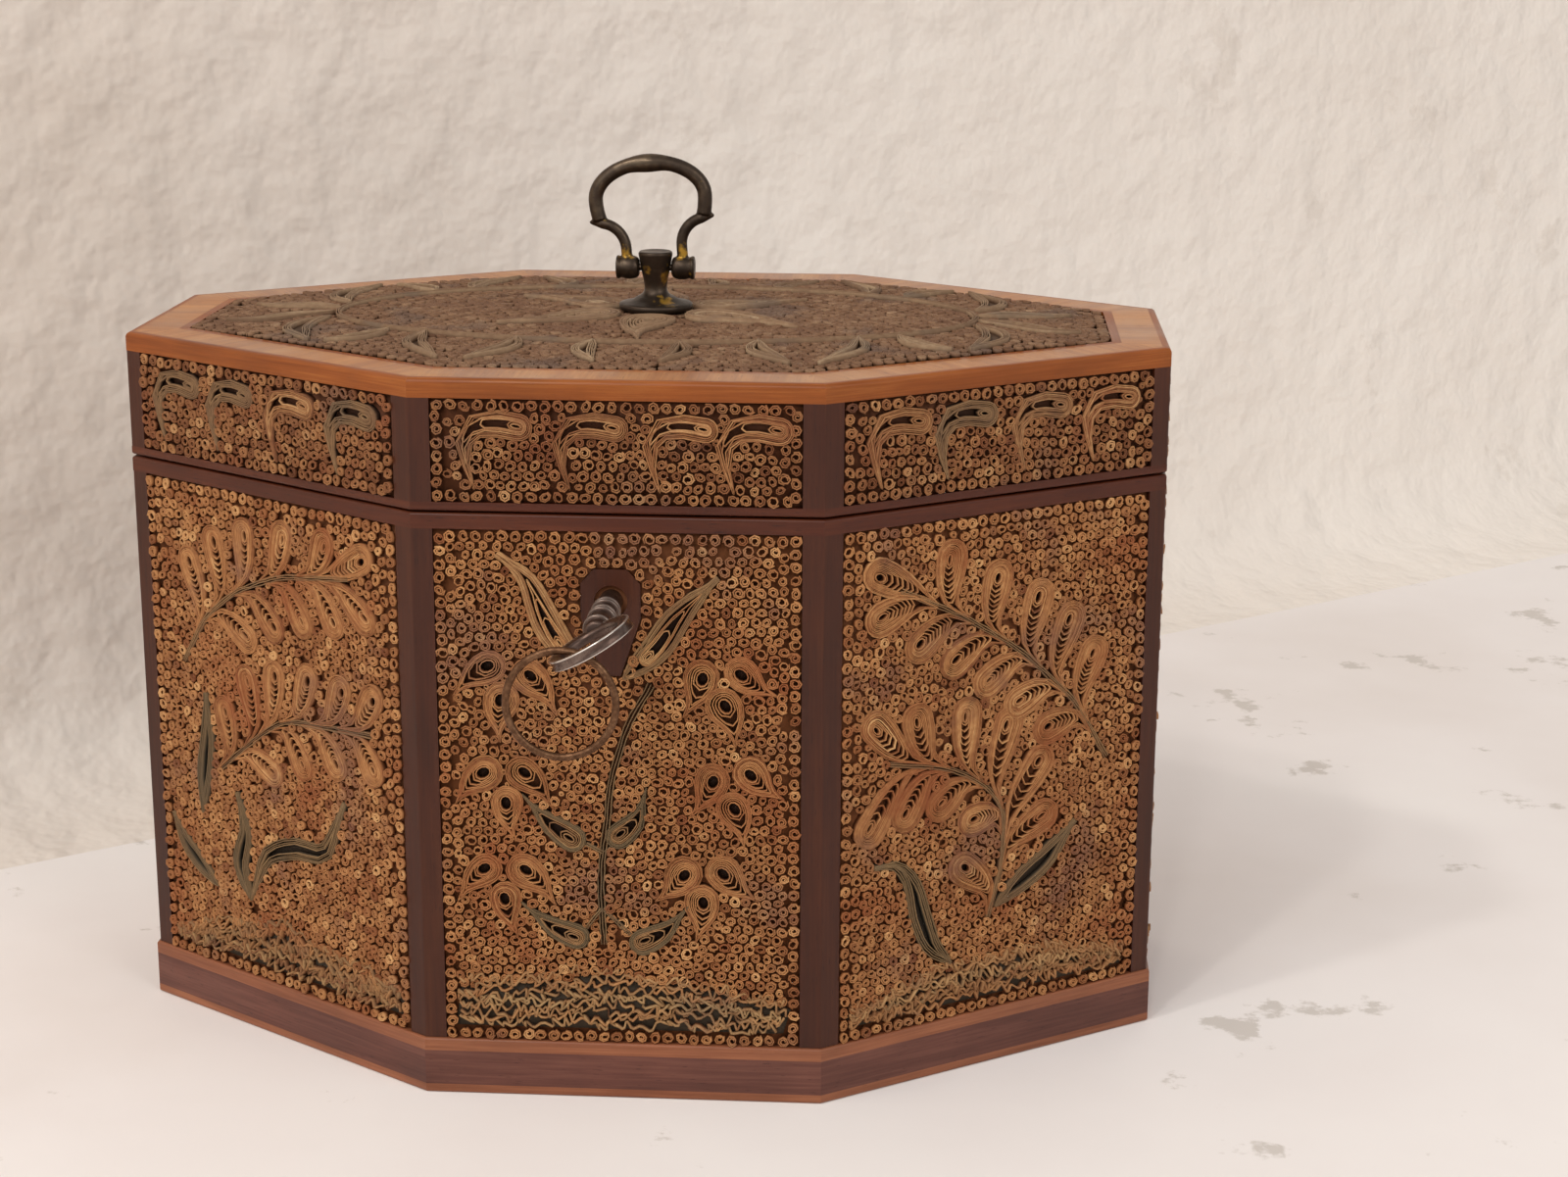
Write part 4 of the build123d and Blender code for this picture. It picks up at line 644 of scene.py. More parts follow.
def end_figures(sheet, width):
    """One upright frond, which the photograph does not show: it follows the fronds beside it."""
    heads = []
    for row in range(7):
        heads += [(-8.6, 26.0 + row * 8.2), (9.0, 29.6 + row * 8.2)]
    spray(sheet, [(0.0, 14.0), (1.6, 30.0), (-1.4, 48.0), (1.0, 66.0), (-0.6, 78.0)], heads, 2.9, lag=9.0)
    for points in ([(-0.5, 13.0), (-5.0, 14.4), (-8.8, 17.0), (-13.0, 17.4)],
                   [(0.5, 13.0), (5.0, 15.4), (8.8, 18.4), (13.2, 19.0)]):
        leaf_blade(sheet, points, 3.4, layers=4, gap=0.36, tone=0.4, green=0.9, loops=False)
    crimped(sheet, width, [6.4, 10.6, 11.6, 10.2, 6.8])


def lid_figures(sheet, width, feet):
    """A row of canes: a narrow foot, a bent elbow, and a long looped head that lies to the right."""
    for foot in feet:
        green = float(random.choice((0.0, 0.1, 0.25, 0.7)))
        axis = smooth_axis([
            (foot + 8.2, 12.4), (foot + 4.4, 13.2), (foot + 0.4, 12.6), (foot - 1.0, 10.2), (foot - 0.5, 6.4),
            (foot + 0.8, 2.4),
        ], 6)
        coil(sheet, axis, random.uniform(1.8, 2.15), 3, 4, 0.36, 1.6, taper=1.6, lean=-0.1, tone=0.55,
             inner_tone=0.7, green=green, pitch=0.3, reach=0.8, half_wall=0.1, depth=0.6)


def inside(points, outline):
    """Which points lie inside a closed outline."""
    found = np.zeros(len(points), bool)
    x, y = points[:, 0], points[:, 1]
    for (x1, y1), (x2, y2) in zip(outline, np.roll(outline, -1, axis=0)):
        if y1 == y2:
            continue
        crosses = (y1 > y) != (y2 > y)
        found ^= crosses & (x < (x2 - x1) * (y - y1) / (y2 - y1) + x1)
    return found


def along_outline(outline, pitch):
    """Points evenly spaced round a closed outline."""
    closed = np.concatenate([outline, outline[:1]])
    steps = np.concatenate([[0], np.cumsum(np.linalg.norm(np.diff(closed, axis=0), axis=1))])
    count = max(3, int(round(steps[-1] / pitch)))
    fine = np.arange(count) * steps[-1] / count
    return np.stack([np.interp(fine, steps, closed[:, k]) for k in (0, 1)], axis=1)


def shrunk(outline, inset):
    """A convex outline, listed anticlockwise, moved inwards."""
    outline = np.asarray(outline, float)
    result = []
    for before, here, after in zip(np.roll(outline, 1, axis=0), outline, np.roll(outline, -1, axis=0)):
        a = (here - before) / np.linalg.norm(here - before)
        b = (after - here) / np.linalg.norm(after - here)
        na, nb = np.array((-a[1], a[0])), np.array((-b[1], b[0]))
        result.append(here + (na + nb) * inset / (1 + na @ nb))
    return np.array(result)


def apart(spots, others):
    return np.linalg.norm(spots[:, None] - others[None], axis=2)


def pack_rolls(sheet, edge, holes=()):
    """Places and radii of the rolls: a row along the edge, rows round the holes, and a close fill.

    The fill starts as a loose triangular lattice. Rolls that overlap push each other apart, the most
    crowded are left out, and small rolls go into the gaps that stay.
    """
    row = along_outline(shrunk(edge, border_pitch_mm / 2), border_pitch_mm)
    fixed = [row + random.normal(0, 0.05, row.shape)]
    for hole in holes:
        ring = along_outline(shrunk(hole, -border_pitch_mm / 2), border_pitch_mm)
        fixed.append(ring + random.normal(0, 0.05, ring.shape))
    fixed = np.concatenate(fixed)
    fixed_radius = np.full(len(fixed), border_pitch_mm / 2 - 0.02)
    walls = [along_outline(outline, 0.8) for outline in sheet["outlines"]]
    walls = np.concatenate(walls + [np.zeros((0, 2))])
    inner = shrunk(edge, border_pitch_mm + 0.45)

    def free(spots):
        kept = inside(spots, inner)
        for outline in sheet["outlines"]:
            kept &= ~inside(spots, outline)
        for hole in holes:
            kept &= ~inside(spots, shrunk(hole, -border_pitch_mm - 0.4))
        return kept

    low, high = edge.min(axis=0), edge.max(axis=0)
    pitch = sum(roll_radius_mm) * 0.93
    xs, ys = np.meshgrid(np.arange(low[0], high[0], pitch), np.arange(low[1], high[1], pitch * 0.866))
    xs = xs + (np.arange(len(xs)) % 2)[:, None] * pitch / 2
    spots = np.stack((xs.ravel(), ys.ravel()), axis=1)
    spots = spots + random.normal(0, 0.35, spots.shape)
    spots = spots[free(spots)]
    radii = random.uniform(*roll_radius_mm, len(spots))
    others = np.concatenate([fixed, walls])
    other_radii = np.concatenate([fixed_radius, np.full(len(walls), 0.05)])
    for _ in range(4):
        first, second = np.nonzero(np.triu(apart(spots, spots) < 3.2, 1))
        loose, other = np.nonzero(apart(spots, others) < 2.4)
        for _ in range(10):
            push = np.zeros_like(spots)
            between = spots[first] - spots[second]
            distance = np.linalg.norm(between, axis=1) + 1e-6
            overlap = np.clip(radii[first] + radii[second] - distance, 0, None)
            move = between / distance[:, None] * (overlap * 0.5)[:, None]
            np.add.at(push, first, move)
            np.add.at(push, second, -move)
            between = spots[loose] - others[other]
            distance = np.linalg.norm(between, axis=1) + 1e-6
            overlap = np.clip(radii[loose] + other_radii[other] - distance, 0, None)
            np.add.at(push, loose, between / distance[:, None] * overlap[:, None])
            spots = spots + np.clip(push, -0.4, 0.4) * 0.7
    gaps = apart(spots, spots)
    crowded = np.triu(gaps < (radii[:, None] + radii[None]) * 0.74, 1).any(axis=0)
    kept = free(spots) & ~crowded & (apart(spots, fixed).min(axis=1) > 1.5)
    spots = np.concatenate([fixed, spots[kept]])
    radii = np.concatenate([fixed_radius, radii[kept]])
    tries = random.uniform(low, high, (int((high - low).prod() * 0.9), 2))
    tries = tries[free(tries)]
    room = (apart(tries, spots) - radii[None]).min(axis=1)
    room = np.minimum(room, apart(tries, walls).min(axis=1) + 0.1 if len(walls) else 9.0)
    tries, room = tries[room > 0.42], room[room > 0.42]
    for at in np.argsort(-room):
        if (apart(tries[at:at + 1], spots)[0] - radii).min() > 0.4:
            spots = np.concatenate([spots, tries[at:at + 1]])
            radii = np.append(radii, min(room[at] + 0.08, 0.8))
    return spots, radii


def roll_shape(inner, turns):
    """One roll of radius 1: a strip that curls from its hollow outwards, a little out of round.

    Seven steps to a turn keep each of the thousands of rolls to a few dozen faces.
    """
    wall = 0.095
    steps = int(turns * 7) + 1
    share = np.linspace(0, 1, steps)
    angle = share * turns * 2 * math.pi
    radius = inner + (1 - wall - inner) * share ** 0.75
    wobble = random.uniform(0, 2 * math.pi, 2)
    radius = radius * (1 + 0.05 * np.sin(2 * angle + wobble[0]) + 0.03 * np.sin(3 * angle + wobble[1]))
    path = np.stack((radius * np.cos(angle) + 0.1 * (1 - share), radius * np.sin(angle)), axis=1)
    return strip(path, wall, strip_width_mm)


roll_shapes = [roll_shape(inner, turns) for inner, turns in (
    (0.26, 2.0), (0.22, 2.1), (0.3, 1.9), (0.18, 2.2), (0.24, 2.0), (0.34, 1.8), (0.15, 2.2), (0.4, 1.6),
    (0.12, 2.3), (0.48, 1.5),
)]
roll_shares = [0.12, 0.12, 0.12, 0.12, 0.12, 0.12, 0.08, 0.1, 0.06, 0.04]


def fill_with_rolls(sheet, edge, holes=(), uneven=1.0, tone=0.5):
    """Copies the rolls to their places, each turned, squeezed and tilted a little of its own."""
    spots, radii = pack_rolls(sheet, edge, holes)
    kinds = random.choice(len(roll_shapes), len(spots), p=roll_shares)
    for kind, (points, quads) in enumerate(roll_shapes):
        chosen = kinds == kind
        count = int(chosen.sum())
        if count == 0:
            continue
        turn = random.uniform(0, 2 * math.pi, count)
        squeeze = random.uniform(0.76, 1.0, count)[:, None]
        squeeze_turn = random.uniform(0, math.pi, count)
        tilt = random.normal(0, 0.07 * uneven, (count, 2))
        lift = random.normal(0, 0.12 * uneven, count)[:, None]
        x = points[None, :, 0] * np.cos(turn)[:, None] - points[None, :, 1] * np.sin(turn)[:, None]
        y = points[None, :, 0] * np.sin(turn)[:, None] + points[None, :, 1] * np.cos(turn)[:, None]
        c, s = np.cos(squeeze_turn)[:, None], np.sin(squeeze_turn)[:, None]
        long = (x * c + y * s) * squeeze
        short = -x * s + y * c
        r = radii[chosen][:, None] * 1.06
        x, y = (long * c - short * s) * r, (long * s + short * c) * r
        z = np.broadcast_to(points[None, :, 2], x.shape)
        rise = lift + tilt[:, 0, None] * x + tilt[:, 1, None] * y
        z = np.where(z > 1.0, np.clip(z + rise, 2.6, 3.7), z)
        everything = np.stack((x + spots[chosen, 0, None], y + spots[chosen, 1, None], z), axis=2)
        shifts = (np.arange(count) * len(points))[:, None, None]
        tones = np.clip(random.normal(tone, 0.17 * uneven, count), 0, 0.9)
        # The rolls' sides take a quarter of the hollow colour: painted shade.
        lay(sheet, everything.reshape(-1, 3), (quads[None] + shifts).reshape(-1, 4),
            np.repeat(tones, len(points)), light=0.75)


def add_card(sheet, edge):
    """The dark card, as a thin slab of fans from its middle."""
    count = len(edge)
    halves = (edge + np.roll(edge, -1, axis=0)) / 2
    front = np.concatenate([edge, halves])
    points = np.concatenate([
        np.column_stack((front, np.full(2 * count, card_thickness_mm))),
        np.column_stack((front, np.full(2 * count, 0.05))),
        [[*edge.mean(axis=0), card_thickness_mm], [*edge.mean(axis=0), 0.05]],
    ])
    quads = []
    for k in range(count):
        before = (k - 1) % count
        quads.append((k, count + k, 4 * count, count + before))
        quads.append((2 * count + k, 3 * count + before, 4 * count + 1, 3 * count + k))
        quads.append((k, 2 * count + k, 3 * count + k, count + k))
        quads.append((k, count + before, 3 * count + before, 2 * count + k))
    lay(sheet, points, np.array(quads), 0.2, 0.0, 0.5)
    sheet["tints"][-1][:, 2] = 0.0


def set_up_panel(sheet, name, place, material, keep=None):
    """Makes the panel's mesh. place turns panel points in millimetres into metres in the frame."""
    points = place(np.concatenate(sheet["points"]))
    quads = np.concatenate(sheet["quads"])
    tints = np.concatenate(sheet["tints"])
    if keep is not None:
        quads = quads[keep(points[quads].mean(axis=1))]
        used, quads = np.unique(quads, return_inverse=True)
        quads = quads.reshape(-1, 4)
        points, tints = points[used], tints[used]
    mesh = bpy.data.meshes.new(name)
    mesh.vertices.add(len(points))
    mesh.vertices.foreach_set("co", points.astype(np.float32).ravel())
    mesh.loops.add(quads.size)
    mesh.loops.foreach_set("vertex_index", quads.astype(np.int32).ravel())
    mesh.polygons.add(len(quads))
    mesh.polygons.foreach_set("loop_start", np.arange(0, quads.size, 4, dtype=np.int32))
    mesh.attributes.new("paper", "FLOAT_COLOR", "POINT").data.foreach_set("color", tints.ravel())
    mesh.update(calc_edges=True)
    mesh.materials.append(material)
    piece = bpy.data.objects.new(name, mesh)
    bpy.context.scene.collection.objects.link(piece)
    return piece


stain_mm = 13.33
paper_grit_mm = 1.111


def paper(name, edges, deep, hollow, patch_red, patch_grey, green_edge, green_deep):
    """Old rag paper, rolled and glued: matt, pale worn edges over darker sides, stained in patches. The
    sides are darker in part as painted shade: below the edge they take the side colour, and where the
    tint says so, the hollow colour, which is painted shade.

    Real paper's grit is finer: here it is as coarse as it needs to be to show.
    """
    material, tree, shader = new_material(name)
    tint = add_node(tree, "ShaderNodeAttribute", attribute_name="paper").outputs
    tone, green, height = add_node(tree, "ShaderNodeSeparateColor", {0: tint["Color"]}).outputs[:3]
    place = add_node(tree, "ShaderNodeTexCoord").outputs["Object"]
    wide, small = (add_node(tree, "ShaderNodeTexNoise", {
        "Vector": place, "Scale": 1 / (size_mm * MM), "Detail": 3.0,
    }).outputs["Fac"] for size_mm in (stain_mm, paper_grit_mm))
    drift = add_node(tree, "ShaderNodeMapRange", {0: small, 1: 0.3, 2: 0.7, 3: -0.14, 4: 0.14}).outputs[0]
    level = add_node(tree, "ShaderNodeMath", {0: tone, 1: drift}, operation="ADD").outputs[0]
    edge = add_node(tree, "ShaderNodeValToRGB", {0: level}, stops=[
        (0.0, edges[0]), (1.0, edges[3]), (0.35, edges[1]), (0.7, edges[2]),
    ]).outputs[0]
    red = add_node(tree, "ShaderNodeMapRange", {0: wide, 1: 0.53, 2: 0.68, 3: 0.0, 4: 0.6}).outputs[0]
    edge = add_node(tree, "ShaderNodeMix", {0: red, 6: edge, 7: patch_red}, data_type="RGBA").outputs[2]
    grey = add_node(tree, "ShaderNodeMapRange", {0: wide, 1: 0.44, 2: 0.32, 3: 0.0, 4: 0.5}).outputs[0]
    edge = add_node(tree, "ShaderNodeMix", {0: grey, 6: edge, 7: patch_grey}, data_type="RGBA").outputs[2]
    half_green = add_node(tree, "ShaderNodeMath", {0: green, 1: 0.7}, operation="MULTIPLY").outputs[0]
    edge = add_node(tree, "ShaderNodeMix", {0: half_green, 6: edge, 7: green_edge},
                    data_type="RGBA").outputs[2]
    side = add_node(tree, "ShaderNodeMix", {0: green, 6: deep, 7: green_deep}, data_type="RGBA").outputs[2]
    # Painted shade: where the tint's alpha is low, the sides take the hollow colour, a near-black shade.
    side = add_node(tree, "ShaderNodeMix", {0: tint["Alpha"], 6: hollow, 7: side},
                    data_type="RGBA").outputs[2]
    # Over the strip's upper half the side colour passes into the edge colour: the edges' own gilt colour,
    # with the darker sides below partly painted shade.
    rise = add_node(tree, "ShaderNodeMapRange", {0: height, 1: 0.5, 2: 0.98, 3: 0.0, 4: 1.0},
                    interpolation_type="SMOOTHSTEP").outputs[0]
    colour = add_node(tree, "ShaderNodeMix", {0: rise, 6: side, 7: edge}, data_type="RGBA").outputs[2]
    tree.links.new(colour, shader.inputs["Base Color"])
    shader.inputs["Roughness"].default_value = 0.72
    shader.inputs["IOR"].default_value = 1.45
    shader.inputs["Specular IOR Level"].default_value = 0.25
    bump = add_node(tree, "ShaderNodeBump", {"Height": small, "Strength": 0.3, "Distance": 0.1 * MM})
    tree.links.new(bump.outputs[0], shader.inputs["Normal"])
    return material


# In each paper, hollow is a near-black painted shade for the floors of gaps and holes and, in part, the
# strips' sides.
# The case's paper is the freshest: golden tan edges over rust brown sides, with faded teal leaves.
case_paper = paper(
    "rolled_paper_case", edges=("#764428", "#96633c", "#b37e4f", "#d1a26d"), deep="#995c35",
    hollow="#26160c", patch_red="#8f4e2c", patch_grey="#745246", green_edge="#55543f", green_deep="#353a33",
)
# The lid's paper has taken more smoke and handling: darker and browner.
lid_paper = paper(
    "rolled_paper_lid", edges=("#603821", "#835434", "#9d6d45", "#bd9062"), deep="#774529",
    hollow="#20130b", patch_red="#7c432a", patch_grey="#614840", green_edge="#5a5744", green_deep="#30342e",
)
# The top's paper is greyed by dust and bleached by daylight: little colour is left in it.
top_paper = paper(
    "rolled_paper_top", edges=("#62432f", "#805f47", "#9b7c60", "#bb9f80"), deep="#5e3f2a",
    hollow="#2c1d14", patch_red="#70503d", patch_grey="#5f514b", green_edge="#6b654f", green_deep="#3f3c30",
)

side_names = (
    "front", "front_right", "right_end", "back_right", "back", "back_left", "left_end", "front_left",
)
side_figures = {
    "front": front_figures, "back": front_figures,
    "front_right": right_figures, "back_left": right_figures,
    "front_left": left_figures, "back_right": left_figures,
    "right_end": end_figures, "left_end": end_figures,
}
lid_feet_mm = {
    "front": (-23.6, -8.2, 6.2, 18.0), "front_right": (-24.6, -11.8, 3.4, 17.6),
    "front_left": (-25.6, -12.0, 2.6, 17.2), "right_end": (-13.6, 3.4), "left_end": (-13.6, 3.4),
    "back": (-23.6, -8.6, 5.6, 18.4), "back_right": (-25.2, -11.4, 2.8, 17.4),
    "back_left": (-24.4, -11.0, 3.0, 17.8),
}
surround_low, surround_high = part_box("keyhole_surround")


def rectangle(width, height):
    """A panel's outline from its middle and its foot."""
    return np.array([(-width / 2, 0.0), (width / 2, 0.0), (width / 2, height), (-width / 2, height)])


def side_place(number, foot):
    """Turns points of a side's panel, in millimetres, into the frame: x along, y up, z outwards."""
    start, end = corners[number], corners[(number + 1) % 8]
    run = (end - start).normalized()
    outwards = Vector((run.y, -run.x))
    middle = (start + end) / 2 - outwards * facing_mm * MM

    def place(points):
        x, y, z = points[:, 0] * MM, points[:, 1] * MM, points[:, 2] * MM
        return np.stack((middle.x + run.x * x + outwards.x * z, middle.y + run.y * x + outwards.y * z,
                         foot + y), axis=1)
    return place


def surround_outline(foot):
    """The keyhole surround's eight corners on the front panel."""
    x = (surround_low.x + surround_high.x) / 2 / MM
    half = (surround_high.x - surround_low.x) / 2 / MM
    top, bottom = (surround_high.z - foot) / MM, (surround_low.z - foot) / MM
    return np.array([
        (x - 1.5, bottom), (x + 1.5, bottom), (x + half, top - 8.1), (x + half, top - 2.4),
        (x + 2.7, top), (x - 2.7, top), (x - half, top - 2.4), (x - half, top - 8.1),
    ])


for number, side in enumerate(side_names):
    for part, node in (("case", f"{side}_quilled_panel"), ("lid", f"lid_{side}_quilled_panel")):
        low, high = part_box(node)
        width = ((corners[(number + 1) % 8] - corners[number]).length - 2 * post_width) / MM
        edge = rectangle(width, (high.z - low.z) / MM)
        sheet = new_sheet()
        if part == "lid":
            lid_figures(sheet, width, lid_feet_mm[side])
        else:
            side_figures[side](sheet, width)
        add_card(sheet, edge)
        fill_with_rolls(sheet, edge, [surround_outline(low.z)] if node == "front_quilled_panel" else [])
        piece = set_up_panel(sheet, f"{part}_{side}_quilling", side_place(number, low.z),
                             case_paper if part == "case" else lid_paper)
        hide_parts(node)
        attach(piece, part)

# Top panel.
# The same rolled paper laid flat on the lid and crowned a little towards the handle, greyer from dust
# and light: a six-petalled flower round the handle, an oval stalk about it, and leaves that hang
# outwards from the stalk.

panel_inset = 9.8 * MM
crown_mm = 1.5
top_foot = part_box("lid_top_quilled_panel")[0].z
lid_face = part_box("lid_edge_line")[1].z
rosette_radius_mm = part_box("handle_rosette")[1].x / MM
top_leaf = {"peak": 0.45, "layers": 4, "gap": 0.38, "tone": 0.58, "green": 0.3, "loops": False, "lift": 0.45,
            "shallow": 0.9}


def top_place(points):
    """Turns points of the top panel into the frame, on a surface that rises towards the handle."""
    x, y, z = points.T
    crown = crown_mm * np.clip(1 - (x / 80) ** 2, 0, 1) * np.clip(1 - (y / 50) ** 2, 0, 1)
    thick = (lid_face - top_foot) / MM + 0.15 + crown
    return np.stack((x * MM, y * MM, top_foot + z / strip_width_mm * thick * MM), axis=1)


figures = new_sheet()
for petal in range(6):
    angle = math.radians(30 + 60 * petal)
    out = np.array((math.cos(angle), math.sin(angle)))
    tip = 28.5 if petal in (1, 4) else 30.0
    across = np.array((-out[1], out[0])) * (1.5 if petal % 2 else -1.5)
    coil(figures, smooth_axis([out * 12.0, out * 20.0 + across, out * tip], 4), 4.6, 4, 5, 0.9, 3.4,
         taper=0.95, lean=0.3, tone=0.55, inner_tone=0.65, green=0.2, pitch=0.3, half_wall=0.14, lift=0.45)
turns = np.linspace(0, 2 * math.pi, 61)
oval = smooth_axis(np.stack((57 * np.cos(turns), 31 * np.sin(turns)), axis=1), 1)
stalk_strips(figures, oval, 3, tone=0.5, green=0.3, pitch=0.4, lift=0.45, outline=False)
hanging = [
    [(57.0, -8.3), (60.0, -13.0), (60.6, -20.0), (56.0, -30.5)],
    [(43.8, -22.0), (47.0, -28.0), (52.7, -31.5)],
    [(37.0, -23.7), (37.6, -33.0), (31.5, -44.4)],
    [(20.4, -29.0), (20.4, -36.0), (26.5, -44.6)],
    [(7.3, -31.0), (8.4, -38.0), (5.6, -45.0)],
]
for points in hanging:
    for flip_x, flip_y in ((1, 1), (-1, 1), (1, -1), (-1, -1)):
        mirrored = [(x * flip_x, y * flip_y) for x, y in points]
        leaf_blade(figures, mirrored, 4.6 if len(points) == 4 else 3.8, **top_leaf)
for flip in (1, -1):
    for points in ([(57.5, 2.0), (63.0, 6.0), (68.0, 5.0), (74.0, 8.0)],
                   [(57.5, -3.0), (64.0, -5.0), (69.0, -10.0), (75.0, -10.0)]):
        leaf_blade(figures, [(flip * x, y) for x, y in points], 4.2, **top_leaf)
edge = shrunk([(c.x / MM, c.y / MM) for c in corners], panel_inset / MM)
figures["outlines"].append(np.concatenate([beside(oval, oval[0], 0.6), beside(oval, oval[0], -0.6)[::-1]]))
rolls = new_sheet()
rolls["outlines"] = figures["outlines"]
add_card(figures, edge)
seat_turns = np.linspace(0, 2 * math.pi, 24, endpoint=False)
seat = np.stack((np.cos(seat_turns), np.sin(seat_turns)), axis=1) * (rosette_radius_mm - 1.2)
fill_with_rolls(rolls, edge, [seat], uneven=0.6, tone=0.33)
# The rolls are split where x passes these places, so that no one mesh grows too big.
fifths = [-1.0, -0.045, -0.018, 0.018, 0.045, 1.0]
tops = [set_up_panel(figures, "lid_top_quilling_figures", top_place, top_paper)]
for number, (start, end) in enumerate(zip(fifths, fifths[1:])):
    tops.append(set_up_panel(rolls, f"lid_top_quilling_rolls_{number}", top_place, top_paper,
                             lambda p: (p[:, 0] >= start) & (p[:, 0] < end)))
for piece in tops:
    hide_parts("lid_top_quilled_panel")
    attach(piece, "lid")

# Linings.
# Thin lead-grey foil pressed into the case, and cream paper pasted into the lid. They show when the
# lid is open.


def plain_surface(name, colours, roughness, metallic, grain_mm, bump_mm):
    """A worn surface: colour, gloss and relief follow its grain and blotches six times as wide."""
    material, tree, shader = new_material(name)
    place = add_node(tree, "ShaderNodeTexCoord").outputs["Object"]
    coarse = add_node(tree, "ShaderNodeTexNoise", {
        "Vector": place, "Scale": 1 / (grain_mm * 6 * MM), "Detail": 5.0,
    }).outputs["Fac"]
    fine = add_node(tree, "ShaderNodeTexNoise", {
        "Vector": place, "Scale": 1 / (grain_mm * MM), "Detail": 3.0,
    }).outputs["Fac"]
    mixed = add_node(tree, "ShaderNodeMix", {0: 0.4, 2: coarse, 3: fine}).outputs[0]
    colour = add_node(tree, "ShaderNodeValToRGB", {0: mixed}, stops=[
        (0.36, colours[0]), (0.64, colours[2]), (0.5, colours[1]),
    ]).outputs[0]
    rough = add_node(tree, "ShaderNodeMapRange", {
        0: mixed, 1: 0.35, 2: 0.65, 3: min(1.0, roughness + 0.12), 4: roughness - 0.1,
    }).outputs[0]
    bump = add_node(tree, "ShaderNodeBump", {"Height": mixed, "Strength": 0.5, "Distance": bump_mm * MM})
    tree.links.new(colour, shader.inputs["Base Color"])
    tree.links.new(rough, shader.inputs["Roughness"])
    tree.links.new(bump.outputs[0], shader.inputs["Normal"])
    shader.inputs["Metallic"].default_value = metallic
    return material


# Beaten lead foil: dull light grey metal, dented all over by the fingers that pressed it in.
foil = plain_surface("lead_foil", ("#85837f", "#9d9a95", "#b3afa9"), 0.55, 0.7, 1.2, 0.25)
# Laid paper gone cream and foxed: matt, with hardly any relief.
lining_paper = plain_surface("lining_paper", ("#93806a", "#a8967d", "#b8a78e"), 0.85, 0.0, 0.8, 0.05)
dress(foil, "case_foil_lining")
dress(lining_paper, "lid_lining")

# Lock, link plate and hinges.
# Sawn and filed sheet brass, brown with age, held by small steel screws. The drill pin, hinge pins
# and spring are steel.

# Filed sheet brass, tarnished golden brown with a soft gloss.
brass = plain_surface("aged_brass", ("#7d5f31", "#9c7b42", "#b9975a"), 0.38, 1.0, 0.7, 0.03)
# Blued steel gone grey brown, satin.
lock_steel = plain_surface("blued_steel", ("#4a4540", "#625c56", "#7b756d"), 0.4, 1.0, 0.5, 0.02)
dress(brass, "lock_case", "lock_cap", "lock_bolt", "link_plate", "hinge_case_leaves", "hinge_lid_leaves")
dress(lock_steel, "lock_cap_screws", "lock_screws", "hinge_case_screws", "link_plate_screws",
      "hinge_lid_screws", "lock_drill_pin", "lock_spring", "hinge_pins")

# Key and its ring.
# A turned and filed steel pipe key with pairs of collars and an oval bow, rubbed brown-grey, with a
# painted highlight along its edges; a soft brass wire ring hangs in the bow.

# Steel turned bright once, now brown and grey, smooth and fairly glossy from hands.
key_steel = plain_surface("worn_key_steel", ("#4a3a33", "#5c4a42", "#76665d"), 0.3, 0.85, 1.2, 0.004)
# Drawn brass wire, dull brown.
ring_brass = plain_surface("dull_brass_wire", ("#4b3322", "#664833", "#836248"), 0.42, 0.9, 0.4, 0.02)
dress(ring_brass, "key_ring")
# Painted highlight: where the attribute marks the edges, the steel is pale and bright.
steel_tree = key_steel.node_tree
steel_shader = steel_tree.nodes["Principled BSDF"]
painted_edge_highlight = add_node(steel_tree, "ShaderNodeAttribute", attribute_name="painted_edge_highlight").outputs["Fac"]
for socket, worn, kind, first, second, out in (
        ("Base Color", "#e2dad2", "RGBA", 6, 7, 2), ("Roughness", 0.2, "FLOAT", 2, 3, 0)):
    plain = steel_shader.inputs[socket].links[0].from_socket
    mixed = add_node(steel_tree, "ShaderNodeMix", {0: painted_edge_highlight, first: plain, second: worn}, data_type=kind)
    steel_tree.links.new(mixed.outputs[out], steel_shader.inputs[socket])


def turned(name, section, steps=72):
    """Spins a closed section once round the z axis. Its points are millimetres out and up."""
    bpy.ops.mesh.primitive_circle_add(vertices=len(section), radius=MM)
    piece = bpy.context.object
    piece.name = name
    for vertex, (out, up) in zip(piece.data.vertices, section):
        vertex.co = (out * MM, 0.0, up * MM)
    bpy.ops.object.mode_set(mode="EDIT")
    bpy.ops.mesh.select_all(action="SELECT")
    bpy.ops.mesh.spin(steps=steps, angle=2 * math.pi, center=(0, 0, 0), axis=(0, 0, 1))
    bpy.ops.mesh.select_all(action="SELECT")
    bpy.ops.mesh.remove_doubles(threshold=1e-6)
    bpy.ops.mesh.normals_make_consistent(inside=False)
    bpy.ops.object.mode_set(mode="OBJECT")
    return piece


def mark_edge_highlight(piece, bright):
    """Marks the points that get the painted highlight, by their distance from the piece's axis and their
    height.
    """
    marks = piece.data.attributes.new("painted_edge_highlight", "FLOAT", "POINT")
    for vertex, mark in zip(piece.data.vertices, marks.data):
        mark.value = float(bright(math.hypot(vertex.co.x, vertex.co.y), vertex.co.z))


